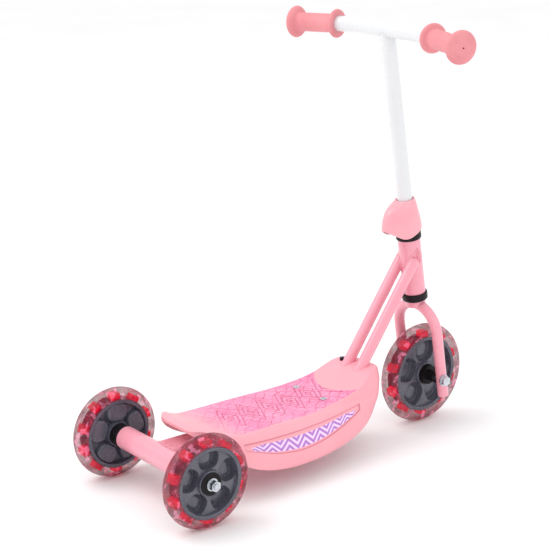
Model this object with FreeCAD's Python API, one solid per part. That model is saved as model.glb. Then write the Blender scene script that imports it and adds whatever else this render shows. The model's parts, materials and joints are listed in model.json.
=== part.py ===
"""Three-wheeled kick scooter for a toddler, one STEP file per piece.

X points forward, Y to the scooter's left and Z up. The origin is on the ground, in the middle of
the scooter's length. All sizes are in millimetres.
"""
import FreeCAD
import Part
import math
import os

V = FreeCAD.Vector

# ---------------------------------------------------------------- driving dimensions
FRONT_WHEEL_R = 75.0          # outside radius of the front tyre
REAR_WHEEL_R = 63.5           # outside radius of a rear tyre
FRONT_HUB_R = 57.0            # radius on which the front tyre is seated
REAR_HUB_R = 48.5             # radius on which a rear tyre is seated
TYRE_W = 25.0                 # tyre width
HUB_W = 23.0                  # hub width over its two faces
WHEELBASE = 473.5             # rear axle to front axle
TRACK = 212.0                 # between the mid-planes of the rear wheels
HEAD_ANGLE = 9.6              # degrees the steering axis leans back from the vertical
AXLE_SETBACK = 3.5            # front axle behind the steering axis
STEEL_TUBE_R = 8.0            # down tubes and fork, 16 mm tube
STEEL_WALL = 1.5
HEAD_TUBE_R = 16.5
STEM_R = 11.0                 # stem and handlebar, 22 mm tube
STEERER_R = 12.7
AXLE_TUBE_R = 16.0
AXLE_R = 4.0                  # M8 axles
RUN_GAP = 0.05                # radial clearance of a running fit
FACE_GAP = 0.3                # axial clearance between turning and fixed pieces
SPOKES = 5
LIGHTS = 10                   # light blocks in each tyre
DECK_TOP = 88.0               # flat part of the standing surface
DECK_WALL = 3.0
TUBE_ROOM = 0.6               # room round a down tube where it passes through the deck
BAR_HEIGHT = 522.6            # handlebar above the front axle, along the steering axis
BAR_SWEEP = 14.0              # degrees each end of the handlebar is swept back

# ---------------------------------------------------------------- derived places
REAR_X = -(WHEELBASE + FRONT_WHEEL_R - REAR_WHEEL_R) / 2
FRONT_X = REAR_X + WHEELBASE
REAR_AXLE = V(REAR_X, 0, REAR_WHEEL_R)
FRONT_AXLE = V(FRONT_X, 0, FRONT_WHEEL_R)
LEAN = math.radians(HEAD_ANGLE)
STEER_BASE = FRONT_AXLE + V(math.cos(LEAN), 0, math.sin(LEAN)) * AXLE_SETBACK

# Heights along the steering axis, measured from STEER_BASE.
FORK_SPREAD = 40.0            # centre of a fork leg from the mid-plane
LEG_BOTTOM = -28.0
CROWN_TOP = 118.3
CROWN_MID = CROWN_TOP - 7.3
WASHER_T = 0.7
LOWER_CUP = (CROWN_TOP + WASHER_T + FACE_GAP, 130.4)
UPPER_CUP = (214.6, 226.8)
CUP_SPIGOT = 11.5
CLAMP = (UPPER_CUP[1] + FACE_GAP, 247.0)
STEERER_TOP = 247.0
STEM_BOTTOM = 165.0


def steered(shape):
    """Places a shape drawn about the steering axis (local Z), local X being forward."""
    shape.rotate(V(0, 0, 0), V(0, 1, 0), -HEAD_ANGLE)
    shape.translate(STEER_BASE)
    return shape


def at_rear(x, y, z):
    """A point whose X is counted from the rear axle and whose Z is counted from the ground."""
    return V(REAR_X + x, y, z)


def rod(radius, start, end, bore=0.0):
    """A straight round bar or tube between two points."""
    way = end - start
    body = Part.makeCylinder(radius, way.Length, start, way)
    if bore:
        body = body.cut(Part.makeCylinder(bore, way.Length, start, way))
    return body


def y_ring(radius, bore, y0, y1, x=0.0, z=0.0):
    """A ring about an axis along Y, from y0 to y1."""
    return rod(radius, V(x, min(y0, y1), z), V(x, max(y0, y1), z), bore)


def y_hex(across, y0, y1, x=0.0, z=0.0):
    """A hexagon head or nut about an axis along Y."""
    low, high = min(y0, y1), max(y0, y1)
    corner_r = across / math.sqrt(3)
    corners = []
    for i in range(7):
        a = math.radians(60 * i + 30)
        corners.append(V(x + corner_r * math.cos(a), low, z + corner_r * math.sin(a)))
    return Part.Face(Part.makePolygon(corners)).extrude(V(0, high - low, 0))


def box(x0, x1, y0, y1, z0, z1):
    """A box given by its limits."""
    return Part.makeBox(x1 - x0, y1 - y0, z1 - z0, V(x0, y0, z0))


def turned(points, axis):
    """A solid of revolution from a closed outline of lines about an axis through the origin."""
    outline = Part.Face(Part.makePolygon(points + [points[0]]))
    return outline.revolve(V(0, 0, 0), axis, 360)


def pipe(path_edges, radius):
    """A round bar that follows a smooth path of lines and arcs."""
    path = Part.Wire(path_edges)
    start = path_edges[0].valueAt(path_edges[0].FirstParameter)
    way = path_edges[0].tangentAt(path_edges[0].FirstParameter)
    ring = Part.Wire(Part.makeCircle(radius, start, way))
    return path.makePipeShell([ring], True, False)


def line(a, b):
    return Part.LineSegment(a, b).toShape()


def arc(a, middle, b):
    return Part.Arc(a, middle, b).toShape()


def group(shapes):
    return Part.makeCompound(shapes)


def save(name, shape):
    """Writes one piece and says what was written."""
    solids = shape.Solids
    if len(solids) == 1:
        shape = solids[0]
    shape.exportStep("parts/%s.step" % name)
    print("%-28s solids %2d valid %s volume %9.0f" % (name, len(solids), shape.isValid(), shape.Volume))


# ---------------------------------------------------------------- wheels
BLOCK_T = 8.0                 # light block, radially
BLOCK_L = 12.0                # light block, along the rim
BLOCK_W = 13.0                # light block, across the tyre
RIM_T = 5.0
BOSS_R = 17.0
BEARING_R = 11.0              # 608 bearing, 22 x 8 x 7
BEARING_W = 7.0
CAP_R = 15.5
CAP_T = 1.5
WEB_OUT = 6.5                 # web face on the open side, from the hub's middle
WEB_IN = -2.5                 # web face on the dished side
CORE_R = 9.4


def light_blocks(hub_r):
    """The light blocks that sit on the hub, sunk into the tyre's inner face."""
    seat = y_ring(hub_r + BLOCK_T, hub_r, -BLOCK_W / 2, BLOCK_W / 2)
    blocks = []
    for i in range(LIGHTS):
        block = box(-BLOCK_L / 2, BLOCK_L / 2, -BLOCK_W / 2, BLOCK_W / 2, hub_r - 2, hub_r + BLOCK_T)
        block.rotate(V(0, 0, 0), V(0, 1, 0), 360.0 * i / LIGHTS)
        blocks.append(block.common(seat))
    return blocks


def tyre(outer_r, hub_r, blocks):
    """A solid tyre with a round tread, hollowed where the light blocks sit."""
    half = TYRE_W / 2
    shoulder_r = outer_r - 8.0
    edges = [
        line(V(0, -half + 1.5, hub_r), V(0, -half, hub_r + 3)),
        line(V(0, -half, hub_r + 3), V(0, -half, shoulder_r)),
        arc(V(0, -half, shoulder_r), V(0, 0, outer_r), V(0, half, shoulder_r)),
        line(V(0, half, shoulder_r), V(0, half, hub_r + 3)),
        line(V(0, half, hub_r + 3), V(0, half - 1.5, hub_r)),
        line(V(0, half - 1.5, hub_r), V(0, -half + 1.5, hub_r)),
    ]
    body = Part.Face(Part.Wire(edges)).revolve(V(0, 0, 0), V(0, 1, 0), 360)
    for block in blocks:
        body = body.cut(block)
    return body


def scoop(hub_r, grow):
    """One of the hub's five scoops, as an ellipsoid; grow makes it larger all round."""
    middle = (BOSS_R + hub_r - RIM_T) / 2
    radial = (hub_r - RIM_T - BOSS_R) / 2 - 1.2
    along = middle * math.sin(math.pi / SPOKES) - 3.0
    ball = Part.makeSphere(1.0)
    size = FreeCAD.Matrix()
    size.scale(V(along + grow, 11.0 + grow, radial + grow))
    ball = ball.transformGeometry(size)
    ball.translate(V(0, WEB_OUT, middle))
    return ball


def hub(hub_r):
    """A moulded hub: rim, boss and a web with five scoops pressed through it."""
    half = HUB_W / 2
    rim = hub_r - RIM_T
    body = turned([
        V(0, -half, BEARING_R), V(0, -half, BOSS_R), V(0, WEB_IN, BOSS_R + 2), V(0, WEB_IN, rim - 2),
        V(0, -half, rim), V(0, -half, hub_r), V(0, half, hub_r), V(0, half, rim),
        V(0, WEB_OUT, rim - 1), V(0, WEB_OUT, BOSS_R + 1), V(0, half, BOSS_R), V(0, half, BEARING_R),
    ], V(0, 1, 0))
    lumps = []
    hollows = []
    room = y_ring(hub_r - 1, BEARING_R + 2, -half, WEB_OUT)
    for i in range(SPOKES):
        turn = 360.0 / SPOKES * i
        lump = scoop(hub_r, 2.2).common(room)
        hollow = scoop(hub_r, 0.0)
        for shape in (lump, hollow):
            shape.rotate(V(0, 0, 0), V(0, 1, 0), turn)
        lumps.append(lump)
        hollows.append(hollow)
    for lump in lumps:
        body = body.fuse(lump)
    for hollow in hollows:
        body = body.cut(hollow)
    return body


def wheel(name, centre, outer_r, hub_r, open_side):
    """All the pieces of one wheel. open_side is +1 or -1: the side the scoops open to."""
    half = HUB_W / 2
    blocks = light_blocks(hub_r)
    pieces = {
        "tyre": tyre(outer_r, hub_r, blocks),
        "light_blocks": group(blocks),
        "hub": hub(hub_r),
        "bearings": group([
            y_ring(BEARING_R, AXLE_R + RUN_GAP, side * (half - BEARING_W), side * half) for side in (-1, 1)
        ]),
        "bearing_caps": group([
            y_ring(CAP_R, AXLE_R + 0.6, side * half, side * (half + CAP_T)) for side in (-1, 1)
        ]),
        "light_coil": y_ring(BEARING_R, CORE_R + FACE_GAP, -half + BEARING_W, half - BEARING_W),
        "magnet_core": y_ring(CORE_R, AXLE_R, -half + BEARING_W + FACE_GAP, half - BEARING_W - FACE_GAP),
    }
    for piece, shape in pieces.items():
        if open_side < 0:
            shape.rotate(V(0, 0, 0), V(0, 0, 1), 180)
        shape.translate(centre)
        save("%s_%s" % (name, piece), shape)


# ---------------------------------------------------------------- rear axle
WHEEL_Y = TRACK / 2
AXLE_TUBE_END = 77.0
BUSH_SPIGOT = 12.0
WASHER_OUT = WHEEL_Y + HUB_W / 2 + CAP_T + FACE_GAP
AXLE_WASHER_T = 1.6
NUT_T = 8.0
NUT_ACROSS = 13.0
ROD_END = WASHER_OUT + AXLE_WASHER_T + NUT_T + 2.5


def rear_axle_tube():
    """The cross tube that holds the rear axle; the backbone is coped to fit it."""
    return y_ring(AXLE_TUBE_R, AXLE_TUBE_R - 2.0, -AXLE_TUBE_END, AXLE_TUBE_END, REAR_X, REAR_WHEEL_R)


def axle_end_bush(side):
    """A moulded bush: a spigot inside the axle tube and a collar between the tube and the wheel."""
    collar_end = WHEEL_Y - HUB_W / 2 - CAP_T - FACE_GAP
    collar = y_ring(CAP_R, AXLE_R, side * AXLE_TUBE_END, side * collar_end, REAR_X, REAR_WHEEL_R)
    spigot = y_ring(AXLE_TUBE_R - 2.0, AXLE_R, side * (AXLE_TUBE_END - BUSH_SPIGOT), side * AXLE_TUBE_END,
                    REAR_X, REAR_WHEEL_R)
    return collar.fuse(spigot)


def rear_axle():
    save("rear_axle_tube", rear_axle_tube())
    save("rear_axle_rod", y_ring(AXLE_R, 0, -ROD_END, ROD_END, REAR_X, REAR_WHEEL_R))
    save("axle_end_bushes", group([axle_end_bush(side) for side in (-1, 1)]))
    save("rear_axle_washers", group([
        y_ring(8.5, AXLE_R, side * WASHER_OUT, side * (WASHER_OUT + AXLE_WASHER_T), REAR_X, REAR_WHEEL_R)
        for side in (-1, 1)
    ]))
    nuts = []
    for side in (-1, 1):
        start = side * (WASHER_OUT + AXLE_WASHER_T)
        nut = y_hex(NUT_ACROSS, start, start + side * NUT_T, REAR_X, REAR_WHEEL_R)
        rounding = y_ring(NUT_ACROSS / 2 + 0.7, 0, start, start + side * NUT_T, REAR_X, REAR_WHEEL_R)
        bore = y_ring(AXLE_R, 0, start, start + side * NUT_T, REAR_X, REAR_WHEEL_R)
        nuts.append(nut.common(rounding).cut(bore))
    save("rear_axle_nuts", group(nuts))


# ---------------------------------------------------------------- welded frame
BACKBONE_TOP = 75.0
BACKBONE_H = 20.0
BACKBONE_HALF = 19.0
BACKBONE_WALL = 1.5
JOINT_PLATE_X = 150.0
JOINT_PLATE_T = 4.0
TWIN_Y = 13.8                 # centre of a down tube from the mid-plane
TWIN_Z = 66.0                 # centre of the level run of the down tubes
RISE = math.radians(54.8)     # slope of the down tubes
KNEE_X = 306.4                # where the level run and the slope would meet
KNEE_R = 60.0
DOWN_TOP_Z = 256.0
SCREW_X = 258.0               # deck screws, counted from the rear axle
SCREW_Y = 30.0
SCREW_R = 2.5
PLATE_T = 3.0
PLATE_TOP = TWIN_Z + STEEL_TUBE_R + PLATE_T
REAR_SCREW_X = (70.0, 120.0)


def down_tube_points(side):
    """Centres of one down tube: its start, both ends of its knee, the knee's own centre, its top."""
    y = side * TWIN_Y
    reach = KNEE_R * math.tan(RISE / 2)
    start = at_rear(JOINT_PLATE_X + JOINT_PLATE_T, y, TWIN_Z)
    knee = at_rear(KNEE_X, y, TWIN_Z)
    slope = V(math.cos(RISE), 0, math.sin(RISE))
    bend_in = knee - V(reach, 0, 0)
    top = knee + slope * ((DOWN_TOP_Z - TWIN_Z) / math.sin(RISE))
    return start, bend_in, knee + slope * reach, bend_in + V(0, 0, KNEE_R), top


def down_tube_path(side):
    """Level run, knee and slope of one down tube, as lines and a tangent arc."""
    start, bend_in, bend_out, centre, top = down_tube_points(side)
    middle = centre + V(math.sin(RISE / 2), 0, -math.cos(RISE / 2)) * KNEE_R
    return [line(start, bend_in), arc(bend_in, middle, bend_out), line(bend_out, top)]


def down_tube_room(side, radius):
    """The room a down tube passes through: a level rod, a bent one and a sloping one."""
    start, bend_in, bend_out, centre, top = down_tube_points(side)
    knee = Part.Face(Part.Wire(Part.makeCircle(radius, bend_in, V(1, 0, 0))))
    knee = knee.revolve(centre, V(0, -1, 0), math.degrees(RISE))
    return [rod(radius, start, bend_in), knee, rod(radius, bend_out, top)]


def head_tube():
    return steered(rod(HEAD_TUBE_R, V(0, 0, LOWER_CUP[1]), V(0, 0, UPPER_CUP[0]), 14.0))


def down_tube(side):
    """One of the twin tubes from the deck to the head tube, coped where it meets the head tube."""
    path = down_tube_path(side)
    body = pipe(path, STEEL_TUBE_R).cut(pipe(path, STEEL_TUBE_R - STEEL_WALL))
    return body.cut(steered(rod(HEAD_TUBE_R, V(0, 0, LOWER_CUP[1]), V(0, 0, UPPER_CUP[0] + 20))))


def backbone():
    """The flat box tube under the deck, coped onto the rear axle tube."""
    top, half = BACKBONE_TOP, BACKBONE_HALF
    low = top - BACKBONE_H
    x1 = REAR_X + JOINT_PLATE_X
    outer = box(REAR_X, x1, -half, half, low, top)
    long_edges = [e for e in outer.Edges if abs(e.tangentAt(e.FirstParameter).x) > 0.99]
    outer = outer.makeFillet(3.0, long_edges)
    wall = BACKBONE_WALL
    inner = box(REAR_X - 1, x1 + 1, -half + wall, half - wall, low + wall, top - wall)
    body = outer.cut(inner)
    body = body.cut(y_ring(AXLE_TUBE_R, 0, -30, 30, REAR_X, REAR_WHEEL_R))
    for x in REAR_SCREW_X:
        body = body.cut(rod(SCREW_R, at_rear(x, 0, low - 1), at_rear(x, 0, top + 1)))
    return body


def welded_frame():
    save("head_tube", head_tube())
    for side, word in ((1, "left"), (-1, "right")):
        save("down_tube_%s" % word, down_tube(side))
    save("backbone_tube", backbone())
    x0 = REAR_X + JOINT_PLATE_X
    save("joint_plate", box(x0, x0 + JOINT_PLATE_T, -25, 25, BACKBONE_TOP - BACKBONE_H - 2, BACKBONE_TOP + 1))
    plate = box(REAR_X + SCREW_X - 14, REAR_X + SCREW_X + 14, -SCREW_Y - 10, SCREW_Y + 10,
                PLATE_TOP - PLATE_T, PLATE_TOP)
    for side in (-1, 1):
        y = side * SCREW_Y
        plate = plate.cut(rod(SCREW_R, at_rear(SCREW_X, y, 0), at_rear(SCREW_X, y, 100)))
    save("deck_plate", plate)


# ---------------------------------------------------------------- deck
# The hull at each height: (height, widest half width, front end, rear end, taper to the nose).
HULL = (
    (20.0, 72.0, 338.0, 40.0, 0.58),
    (30.0, 79.0, 350.0, 36.0, 0.58),
    (42.0, 82.0, 360.0, 34.0, 0.58),
    (58.0, 78.0, 367.0, 32.0, 0.57),
    (75.0, 71.0, 372.0, 30.0, 0.47),
    (83.0, 65.0, 373.0, 29.0, 0.40),
    (89.0, 57.5, 373.0, 28.0, 0.31),
    (98.0, 56.5, 372.5, 28.0, 0.27),
    (107.0, 55.5, 371.5, 28.0, 0.28),
    (122.0, 52.0, 369.0, 28.0, 0.32),
)
HULL_WIDEST_X = 165.0
NOSE_BLUNT = 14
TAIL_SQUARE = 0.38
OUTLINE_POINTS = 72
DECK_TOP_LINE = ((28, 99.0), (34, 101.6), (42, 100.8), (54, 95.0), (68, 90.0), (85, DECK_TOP))
NOSE_TOP_LINE = ((225, DECK_TOP), (258, 91.0), (290, 95.5), (310, 101.0), (324, 108.5), (336, 114.5),
                 (350, 117.5), (364, 115.5), (374, 109.5), (380, 102.0))
NOSE_BOLT = (340.0, 26.2)     # counted from the rear axle, and from the mid-plane
NOSE_BOLT_R = 2.0
NOSE_BOLT_HEAD_R = 3.4
NOSE_BOLT_LOW = 98.0
NOSE_BOLT_SEAT = 113.6        # underside of its head, on a spot-faced seat
DECK_LOW_LINE = ((380, 78), (366, 66), (345, 55), (318, 43), (281, 33.5), (240, 29), (200, 27.5),
                 (161, 29), (127, 35), (93, 47), (60, 68), (42, 85), (28, 95.3))


def hull_outline(z, half, front, rear, taper, inset):
    """One level of the hull: a tapered run to a round nose in front, a squarer curve at the tail.

    With t going from 0 at the widest place to 1 at the nose, the half width is
    half * (1 - taper t^2) * sqrt(1 - t^NOSE_BLUNT).
    """
    points = []
    for i in range(OUTLINE_POINTS):
        a = 2 * math.pi * i / OUTLINE_POINTS
        c, s = math.cos(a), math.sin(a)
        if c >= 0:
            t = math.sqrt(c)
            x = HULL_WIDEST_X + (front - inset - HULL_WIDEST_X) * t
            y = math.copysign((half - inset) * (1 - taper * t ** 2) * math.sqrt(1 - t ** NOSE_BLUNT), s)
        else:
            x = HULL_WIDEST_X - (HULL_WIDEST_X - rear - inset) * abs(c) ** TAIL_SQUARE
            y = (half - inset) * math.copysign(abs(s) ** TAIL_SQUARE, s)
        points.append(at_rear(x, y, z))
    curve = Part.BSplineCurve()
    curve.interpolate(points, PeriodicFlag=True)
    return Part.Wire(curve.toShape())


def spline_edge(points, drop=0.0):
    curve = Part.BSplineCurve()
    curve.interpolate([at_rear(x, 0, z - drop) for x, z in points])
    return curve.toShape()


def side_profile(inset):
    """The deck seen from the side, as a slab. inset lowers its top and opens its bottom."""
    top = list(DECK_TOP_LINE)
    nose = list(NOSE_TOP_LINE)
    low = [(x, z - 6 * inset) for x, z in DECK_LOW_LINE] if inset else list(DECK_LOW_LINE)
    edges = [
        spline_edge(top, inset),
        line(at_rear(top[-1][0], 0, top[-1][1] - inset), at_rear(nose[0][0], 0, nose[0][1] - inset)),
        spline_edge(nose, inset),
        line(at_rear(nose[-1][0], 0, nose[-1][1] - inset), at_rear(low[0][0], 0, low[0][1])),
        spline_edge(low),
        line(at_rear(low[-1][0], 0, low[-1][1]), at_rear(top[0][0], 0, top[0][1] - inset)),
    ]
    face = Part.Face(Part.Wire(edges))
    face.translate(V(0, -100, 0))
    return face.extrude(V(0, 200, 0))


def hull_solid(inset):
    """The hull's levels lofted together and trimmed by the side profile."""
    levels = [hull_outline(*level, inset) for level in HULL]
    return Part.makeLoft(levels, True, False).common(side_profile(inset))


def deck():
    """The moulded deck: a shell open below, with ribs, screw bosses and holes for the down tubes."""
    inner = hull_solid(DECK_WALL)
    shell = hull_solid(0.0).cut(inner)
    rib_low = PLATE_TOP
    ribs = []
    for y in (-46.0, 46.0):
        ribs.append(box(REAR_X + 70, REAR_X + 300, y - 1.2, y + 1.2, rib_low, 130))
    for x in (100.0, 190.0, 225.0, 290.0):
        ribs.append(box(REAR_X + x - 1.2, REAR_X + x + 1.2, -60, 60, rib_low, 130))
    for side in (-1, 1):
        ribs.append(rod(6.0, at_rear(SCREW_X, side * SCREW_Y, rib_low), at_rear(SCREW_X, side * SCREW_Y, 130)))
    for x in REAR_SCREW_X:
        ribs.append(rod(6.0, at_rear(x, 0, BACKBONE_TOP), at_rear(x, 0, 130)))
    ribs = [rib.common(inner) for rib in ribs]
    body = shell
    for rib in ribs:
        body = body.fuse(rib)
    for side in (-1, 1):
        for room in down_tube_room(side, STEEL_TUBE_R + TUBE_ROOM):
            body = body.cut(room)
        screw_axis = at_rear(SCREW_X, side * SCREW_Y, 0)
        body = body.cut(rod(SCREW_R, screw_axis, screw_axis + V(0, 0, 120)))
        body = body.cut(rod(5.2, screw_axis + V(0, 0, DECK_TOP - 1.0), screw_axis + V(0, 0, 120)))
    for x in REAR_SCREW_X:
        body = body.cut(rod(2.0, at_rear(x, 0, BACKBONE_TOP - 1), at_rear(x, 0, DECK_TOP - 5)))
    x, y = NOSE_BOLT
    body = body.cut(rod(NOSE_BOLT_R, at_rear(x, y, NOSE_BOLT_LOW - 1), at_rear(x, y, 130)))
    return body.cut(rod(NOSE_BOLT_HEAD_R + 0.4, at_rear(x, y, NOSE_BOLT_SEAT), at_rear(x, y, 130)))


def deck_fasteners():
    """Two machine screws with nuts at the front, two tapping screws from below at the rear."""
    screws = []
    nuts = []
    head_z = DECK_TOP - 1.0
    for side in (-1, 1):
        y = side * SCREW_Y
        head = rod(5.0, at_rear(SCREW_X, y, head_z), at_rear(SCREW_X, y, head_z + 2.6))
        slot = box(REAR_X + SCREW_X - 0.6, REAR_X + SCREW_X + 0.6, y - 3, y + 3, head_z + 1.4, head_z + 3)
        cross = box(REAR_X + SCREW_X - 3, REAR_X + SCREW_X + 3, y - 0.6, y + 0.6, head_z + 1.4, head_z + 3)
        shank = rod(SCREW_R, at_rear(SCREW_X, y, PLATE_TOP - 12), at_rear(SCREW_X, y, head_z))
        screws.append(head.fuse(shank).cut(slot).cut(cross))
        z0 = PLATE_TOP - PLATE_T - 5
        nut = Part.Face(Part.makePolygon([
            at_rear(SCREW_X + 4.6 * math.cos(math.radians(60 * i)), y + 4.6 * math.sin(math.radians(60 * i)), z0)
            for i in range(7)
        ])).extrude(V(0, 0, 5))
        nuts.append(nut.cut(rod(SCREW_R, at_rear(SCREW_X, y, z0 - 1), at_rear(SCREW_X, y, z0 + 6))))
    save("deck_screws_front", group(screws))
    save("deck_nuts", group(nuts))
    rear = []
    low = BACKBONE_TOP - BACKBONE_H
    for x in REAR_SCREW_X:
        head = rod(4.5, at_rear(x, 0, low - 2.5), at_rear(x, 0, low))
        rear.append(head.fuse(rod(2.0, at_rear(x, 0, low), at_rear(x, 0, DECK_TOP - 6))))
    save("deck_screws_rear", group(rear))


def nose_bolt():
    """The small bolt that stands beside the left down tube, in the highest part of the deck."""
    x, y = NOSE_BOLT
    shank = rod(NOSE_BOLT_R, at_rear(x, y, NOSE_BOLT_LOW), at_rear(x, y, NOSE_BOLT_SEAT))
    head = rod(NOSE_BOLT_HEAD_R, at_rear(x, y, NOSE_BOLT_SEAT), at_rear(x, y, NOSE_BOLT_SEAT + 6))
    return shank.fuse(head)


# ---------------------------------------------------------------- fork and headset
def fork():
    """A tube bent into an arch, a crown collar welded on top, and a hole through each leg for the axle."""
    shoulder = CROWN_MID - FORK_SPREAD
    ring = Part.Face(Part.Wire(Part.makeCircle(STEEL_TUBE_R, V(0, -FORK_SPREAD, shoulder), V(0, 0, 1))))
    body = ring.revolve(V(0, 0, shoulder), V(-1, 0, 0), 180)
    collar = rod(15.0, V(0, 0, CROWN_MID - 1.5), V(0, 0, CROWN_TOP))
    bores = []
    for side in (-1, 1):
        y = side * FORK_SPREAD
        body = body.fuse(rod(STEEL_TUBE_R, V(0, y, LEG_BOTTOM), V(0, y, shoulder)))
        bores.append(rod(STEEL_TUBE_R - STEEL_WALL, V(0, y, LEG_BOTTOM + 3), V(0, y, shoulder)))
    body = body.fuse(collar)
    for bore in bores:
        body = body.cut(bore)
    body = body.cut(y_ring(AXLE_R, 0, -60, 60, -AXLE_SETBACK, 0))
    return steered(body)


def cup(flange, flange_r, spigot_low, spigot_high):
    """A black bush: a thick collar outside the head tube and a spigot pressed inside it."""
    bore = STEERER_R + RUN_GAP
    body = rod(flange_r, V(0, 0, flange[0]), V(0, 0, flange[1]), bore)
    return steered(body.fuse(rod(14.0, V(0, 0, spigot_low), V(0, 0, spigot_high), bore)))


CLAMP_R = 15.5
LUG_BACK = 32.0
LUG_HALF = 6.5
SLIT = 1.0
CLAMP_BOLT_X = -25.0
CLAMP_MID = (CLAMP[0] + CLAMP[1]) / 2


def clamp():
    """The steel clamp on the top of the steerer, with two ears at the back and a slit between."""
    body = rod(CLAMP_R, V(0, 0, CLAMP[0]), V(0, 0, CLAMP[1]))
    body = body.fuse(box(-LUG_BACK, -CLAMP_R + 6, -LUG_HALF, LUG_HALF, CLAMP[0] + 2, CLAMP[1] - 2))
    body = body.cut(rod(STEERER_R, V(0, 0, CLAMP[0] - 1), V(0, 0, CLAMP[1] + 1)))
    body = body.cut(box(-LUG_BACK - 1, -STEERER_R + 2, -SLIT, SLIT, CLAMP[0] - 1, CLAMP[1] + 1))
    return steered(body.cut(y_ring(2.5, 0, -20, 20, CLAMP_BOLT_X, CLAMP_MID)))


def clamp_bolt():
    head = y_hex(8.0, LUG_HALF, LUG_HALF + 4, CLAMP_BOLT_X, CLAMP_MID)
    return steered(head.fuse(y_ring(2.5, 0, -LUG_HALF - 6, LUG_HALF, CLAMP_BOLT_X, CLAMP_MID)))


def clamp_nut():
    nut = y_hex(8.0, -LUG_HALF - 4.5, -LUG_HALF, CLAMP_BOLT_X, CLAMP_MID)
    return steered(nut.cut(y_ring(2.5, 0, -20, 0, CLAMP_BOLT_X, CLAMP_MID)))


# Levels of the headset cover: (height, reach forward, reach back, half width).
COVER = (
    (218.0, 20.6, 47.0, 20.6),
    (228.0, 20.5, 47.0, 20.5),
    (238.0, 20.2, 46.6, 20.2),
    (247.0, 19.3, 45.2, 19.4),
    (257.0, 17.6, 41.0, 18.2),
    (264.5, 16.4, 35.6, 17.0),
    (269.5, 15.4, 27.6, 15.8),
    (272.5, 14.9, 19.0, 15.0),
    (274.5, 14.4, 14.6, 14.4),
)
# The cover's lower rim seen from the side: (forward, height).
COVER_RIM = ((-60, 250.0), (-19, 219.0), (0, 226.0), (19, 232.0), (30, 235.5))
COVER_WALL = 1.6
COVER_POINTS = 40


def cover_level(z, ahead, back, half, inset):
    """A section of the headset cover: half an ellipse in front and a longer half ellipse behind."""
    points = []
    for i in range(COVER_POINTS):
        a = 2 * math.pi * i / COVER_POINTS
        reach = ahead if math.cos(a) >= 0 else back
        points.append(V((reach - inset) * math.cos(a), (half - inset) * math.sin(a), z))
    curve = Part.BSplineCurve()
    curve.interpolate(points, PeriodicFlag=True)
    return Part.Wire(curve.toShape())


def headset_cover():
    """A soft-edged moulded cover over the clamp, open below, gripping the stem at its neck."""
    outer = Part.makeLoft([cover_level(*level, 0.0) for level in COVER], True, False)
    cavity_levels = [cover_level(z - COVER_WALL, a, b, h, COVER_WALL) for z, a, b, h in COVER[:-3]]
    cavity = Part.makeLoft(cavity_levels, True, False)
    body = outer.cut(cavity)
    body = body.cut(rod(STEM_R, V(0, 0, 200), V(0, 0, 290)))
    body = body.cut(rod(STEERER_R + 0.4, V(0, 0, 200), V(0, 0, STEERER_TOP + 4)))
    rim = [V(x, -40, h) for x, h in COVER_RIM]
    below = [V(COVER_RIM[-1][0], -40, 200), V(COVER_RIM[0][0], -40, 200)]
    under_rim = Part.Face(Part.makePolygon(rim + below + [rim[0]])).extrude(V(0, 80, 0))
    return steered(body.cut(under_rim))


def steering_column():
    save("fork", fork())
    save("crown_washer", steered(rod(16.0, V(0, 0, CROWN_TOP), V(0, 0, CROWN_TOP + WASHER_T), STEERER_R)))
    save("steerer_tube", steered(rod(STEERER_R, V(0, 0, CROWN_TOP), V(0, 0, STEERER_TOP), STEM_R)))
    save("lower_cup", cup(LOWER_CUP, 18.8, LOWER_CUP[1], LOWER_CUP[1] + CUP_SPIGOT))
    save("upper_cup", cup(UPPER_CUP, 18.4, UPPER_CUP[0] - CUP_SPIGOT, UPPER_CUP[0]))
    save("stem_clamp", clamp())
    save("clamp_bolt", clamp_bolt())
    save("clamp_nut", clamp_nut())
    save("headset_cover", headset_cover())


def front_axle():
    """The front axle bolt, its nut and washers, and the bushes that keep the wheel in the middle."""
    axle = STEER_BASE - V(math.cos(LEAN), 0, math.sin(LEAN)) * AXLE_SETBACK
    leg_face = FORK_SPREAD + STEEL_TUBE_R
    washer_end = leg_face + 1.5
    bolt = y_ring(AXLE_R, 0, -washer_end, washer_end + NUT_T + 2.0, axle.x, axle.z)
    head = y_hex(NUT_ACROSS, -washer_end - 5.5, -washer_end, axle.x, axle.z)
    save("front_axle_bolt", bolt.fuse(head))
    nut = y_hex(NUT_ACROSS, washer_end, washer_end + NUT_T, axle.x, axle.z)
    save("front_axle_nut", nut.cut(y_ring(AXLE_R, 0, washer_end, washer_end + NUT_T, axle.x, axle.z)))
    save("front_axle_washers", group([
        y_ring(8.5, AXLE_R, side * leg_face, side * washer_end, axle.x, axle.z) for side in (-1, 1)
    ]))
    bushes = []
    wheel_face = HUB_W / 2 + CAP_T + FACE_GAP
    for side in (-1, 1):
        collar = y_ring(CAP_R - 1.5, AXLE_R, side * wheel_face, side * (wheel_face + 5), axle.x, axle.z)
        sleeve = y_ring(8.0, AXLE_R, side * (wheel_face + 5), side * (leg_face - 2 * STEEL_TUBE_R),
                        axle.x, axle.z)
        bushes.append(collar.fuse(sleeve))
    save("front_axle_bushes", group(bushes))


# ---------------------------------------------------------------- handlebar
BAR_STRAIGHT = 52.5           # half of the straight middle
BAR_BEND_R = 150.0
BAR_END_RUN = 83.0            # straight run from the end of the bend
TUBE_WALL = 1.5
GRIP_START = 6.0              # grip's inner end, from the end of the bend
GRIP_END = 87.0
GRIP_R = 13.3
INNER_FLANGE_R = 20.5
OUTER_FLANGE_R = 23.0
GRIP_CROWN = 2.0


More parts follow.
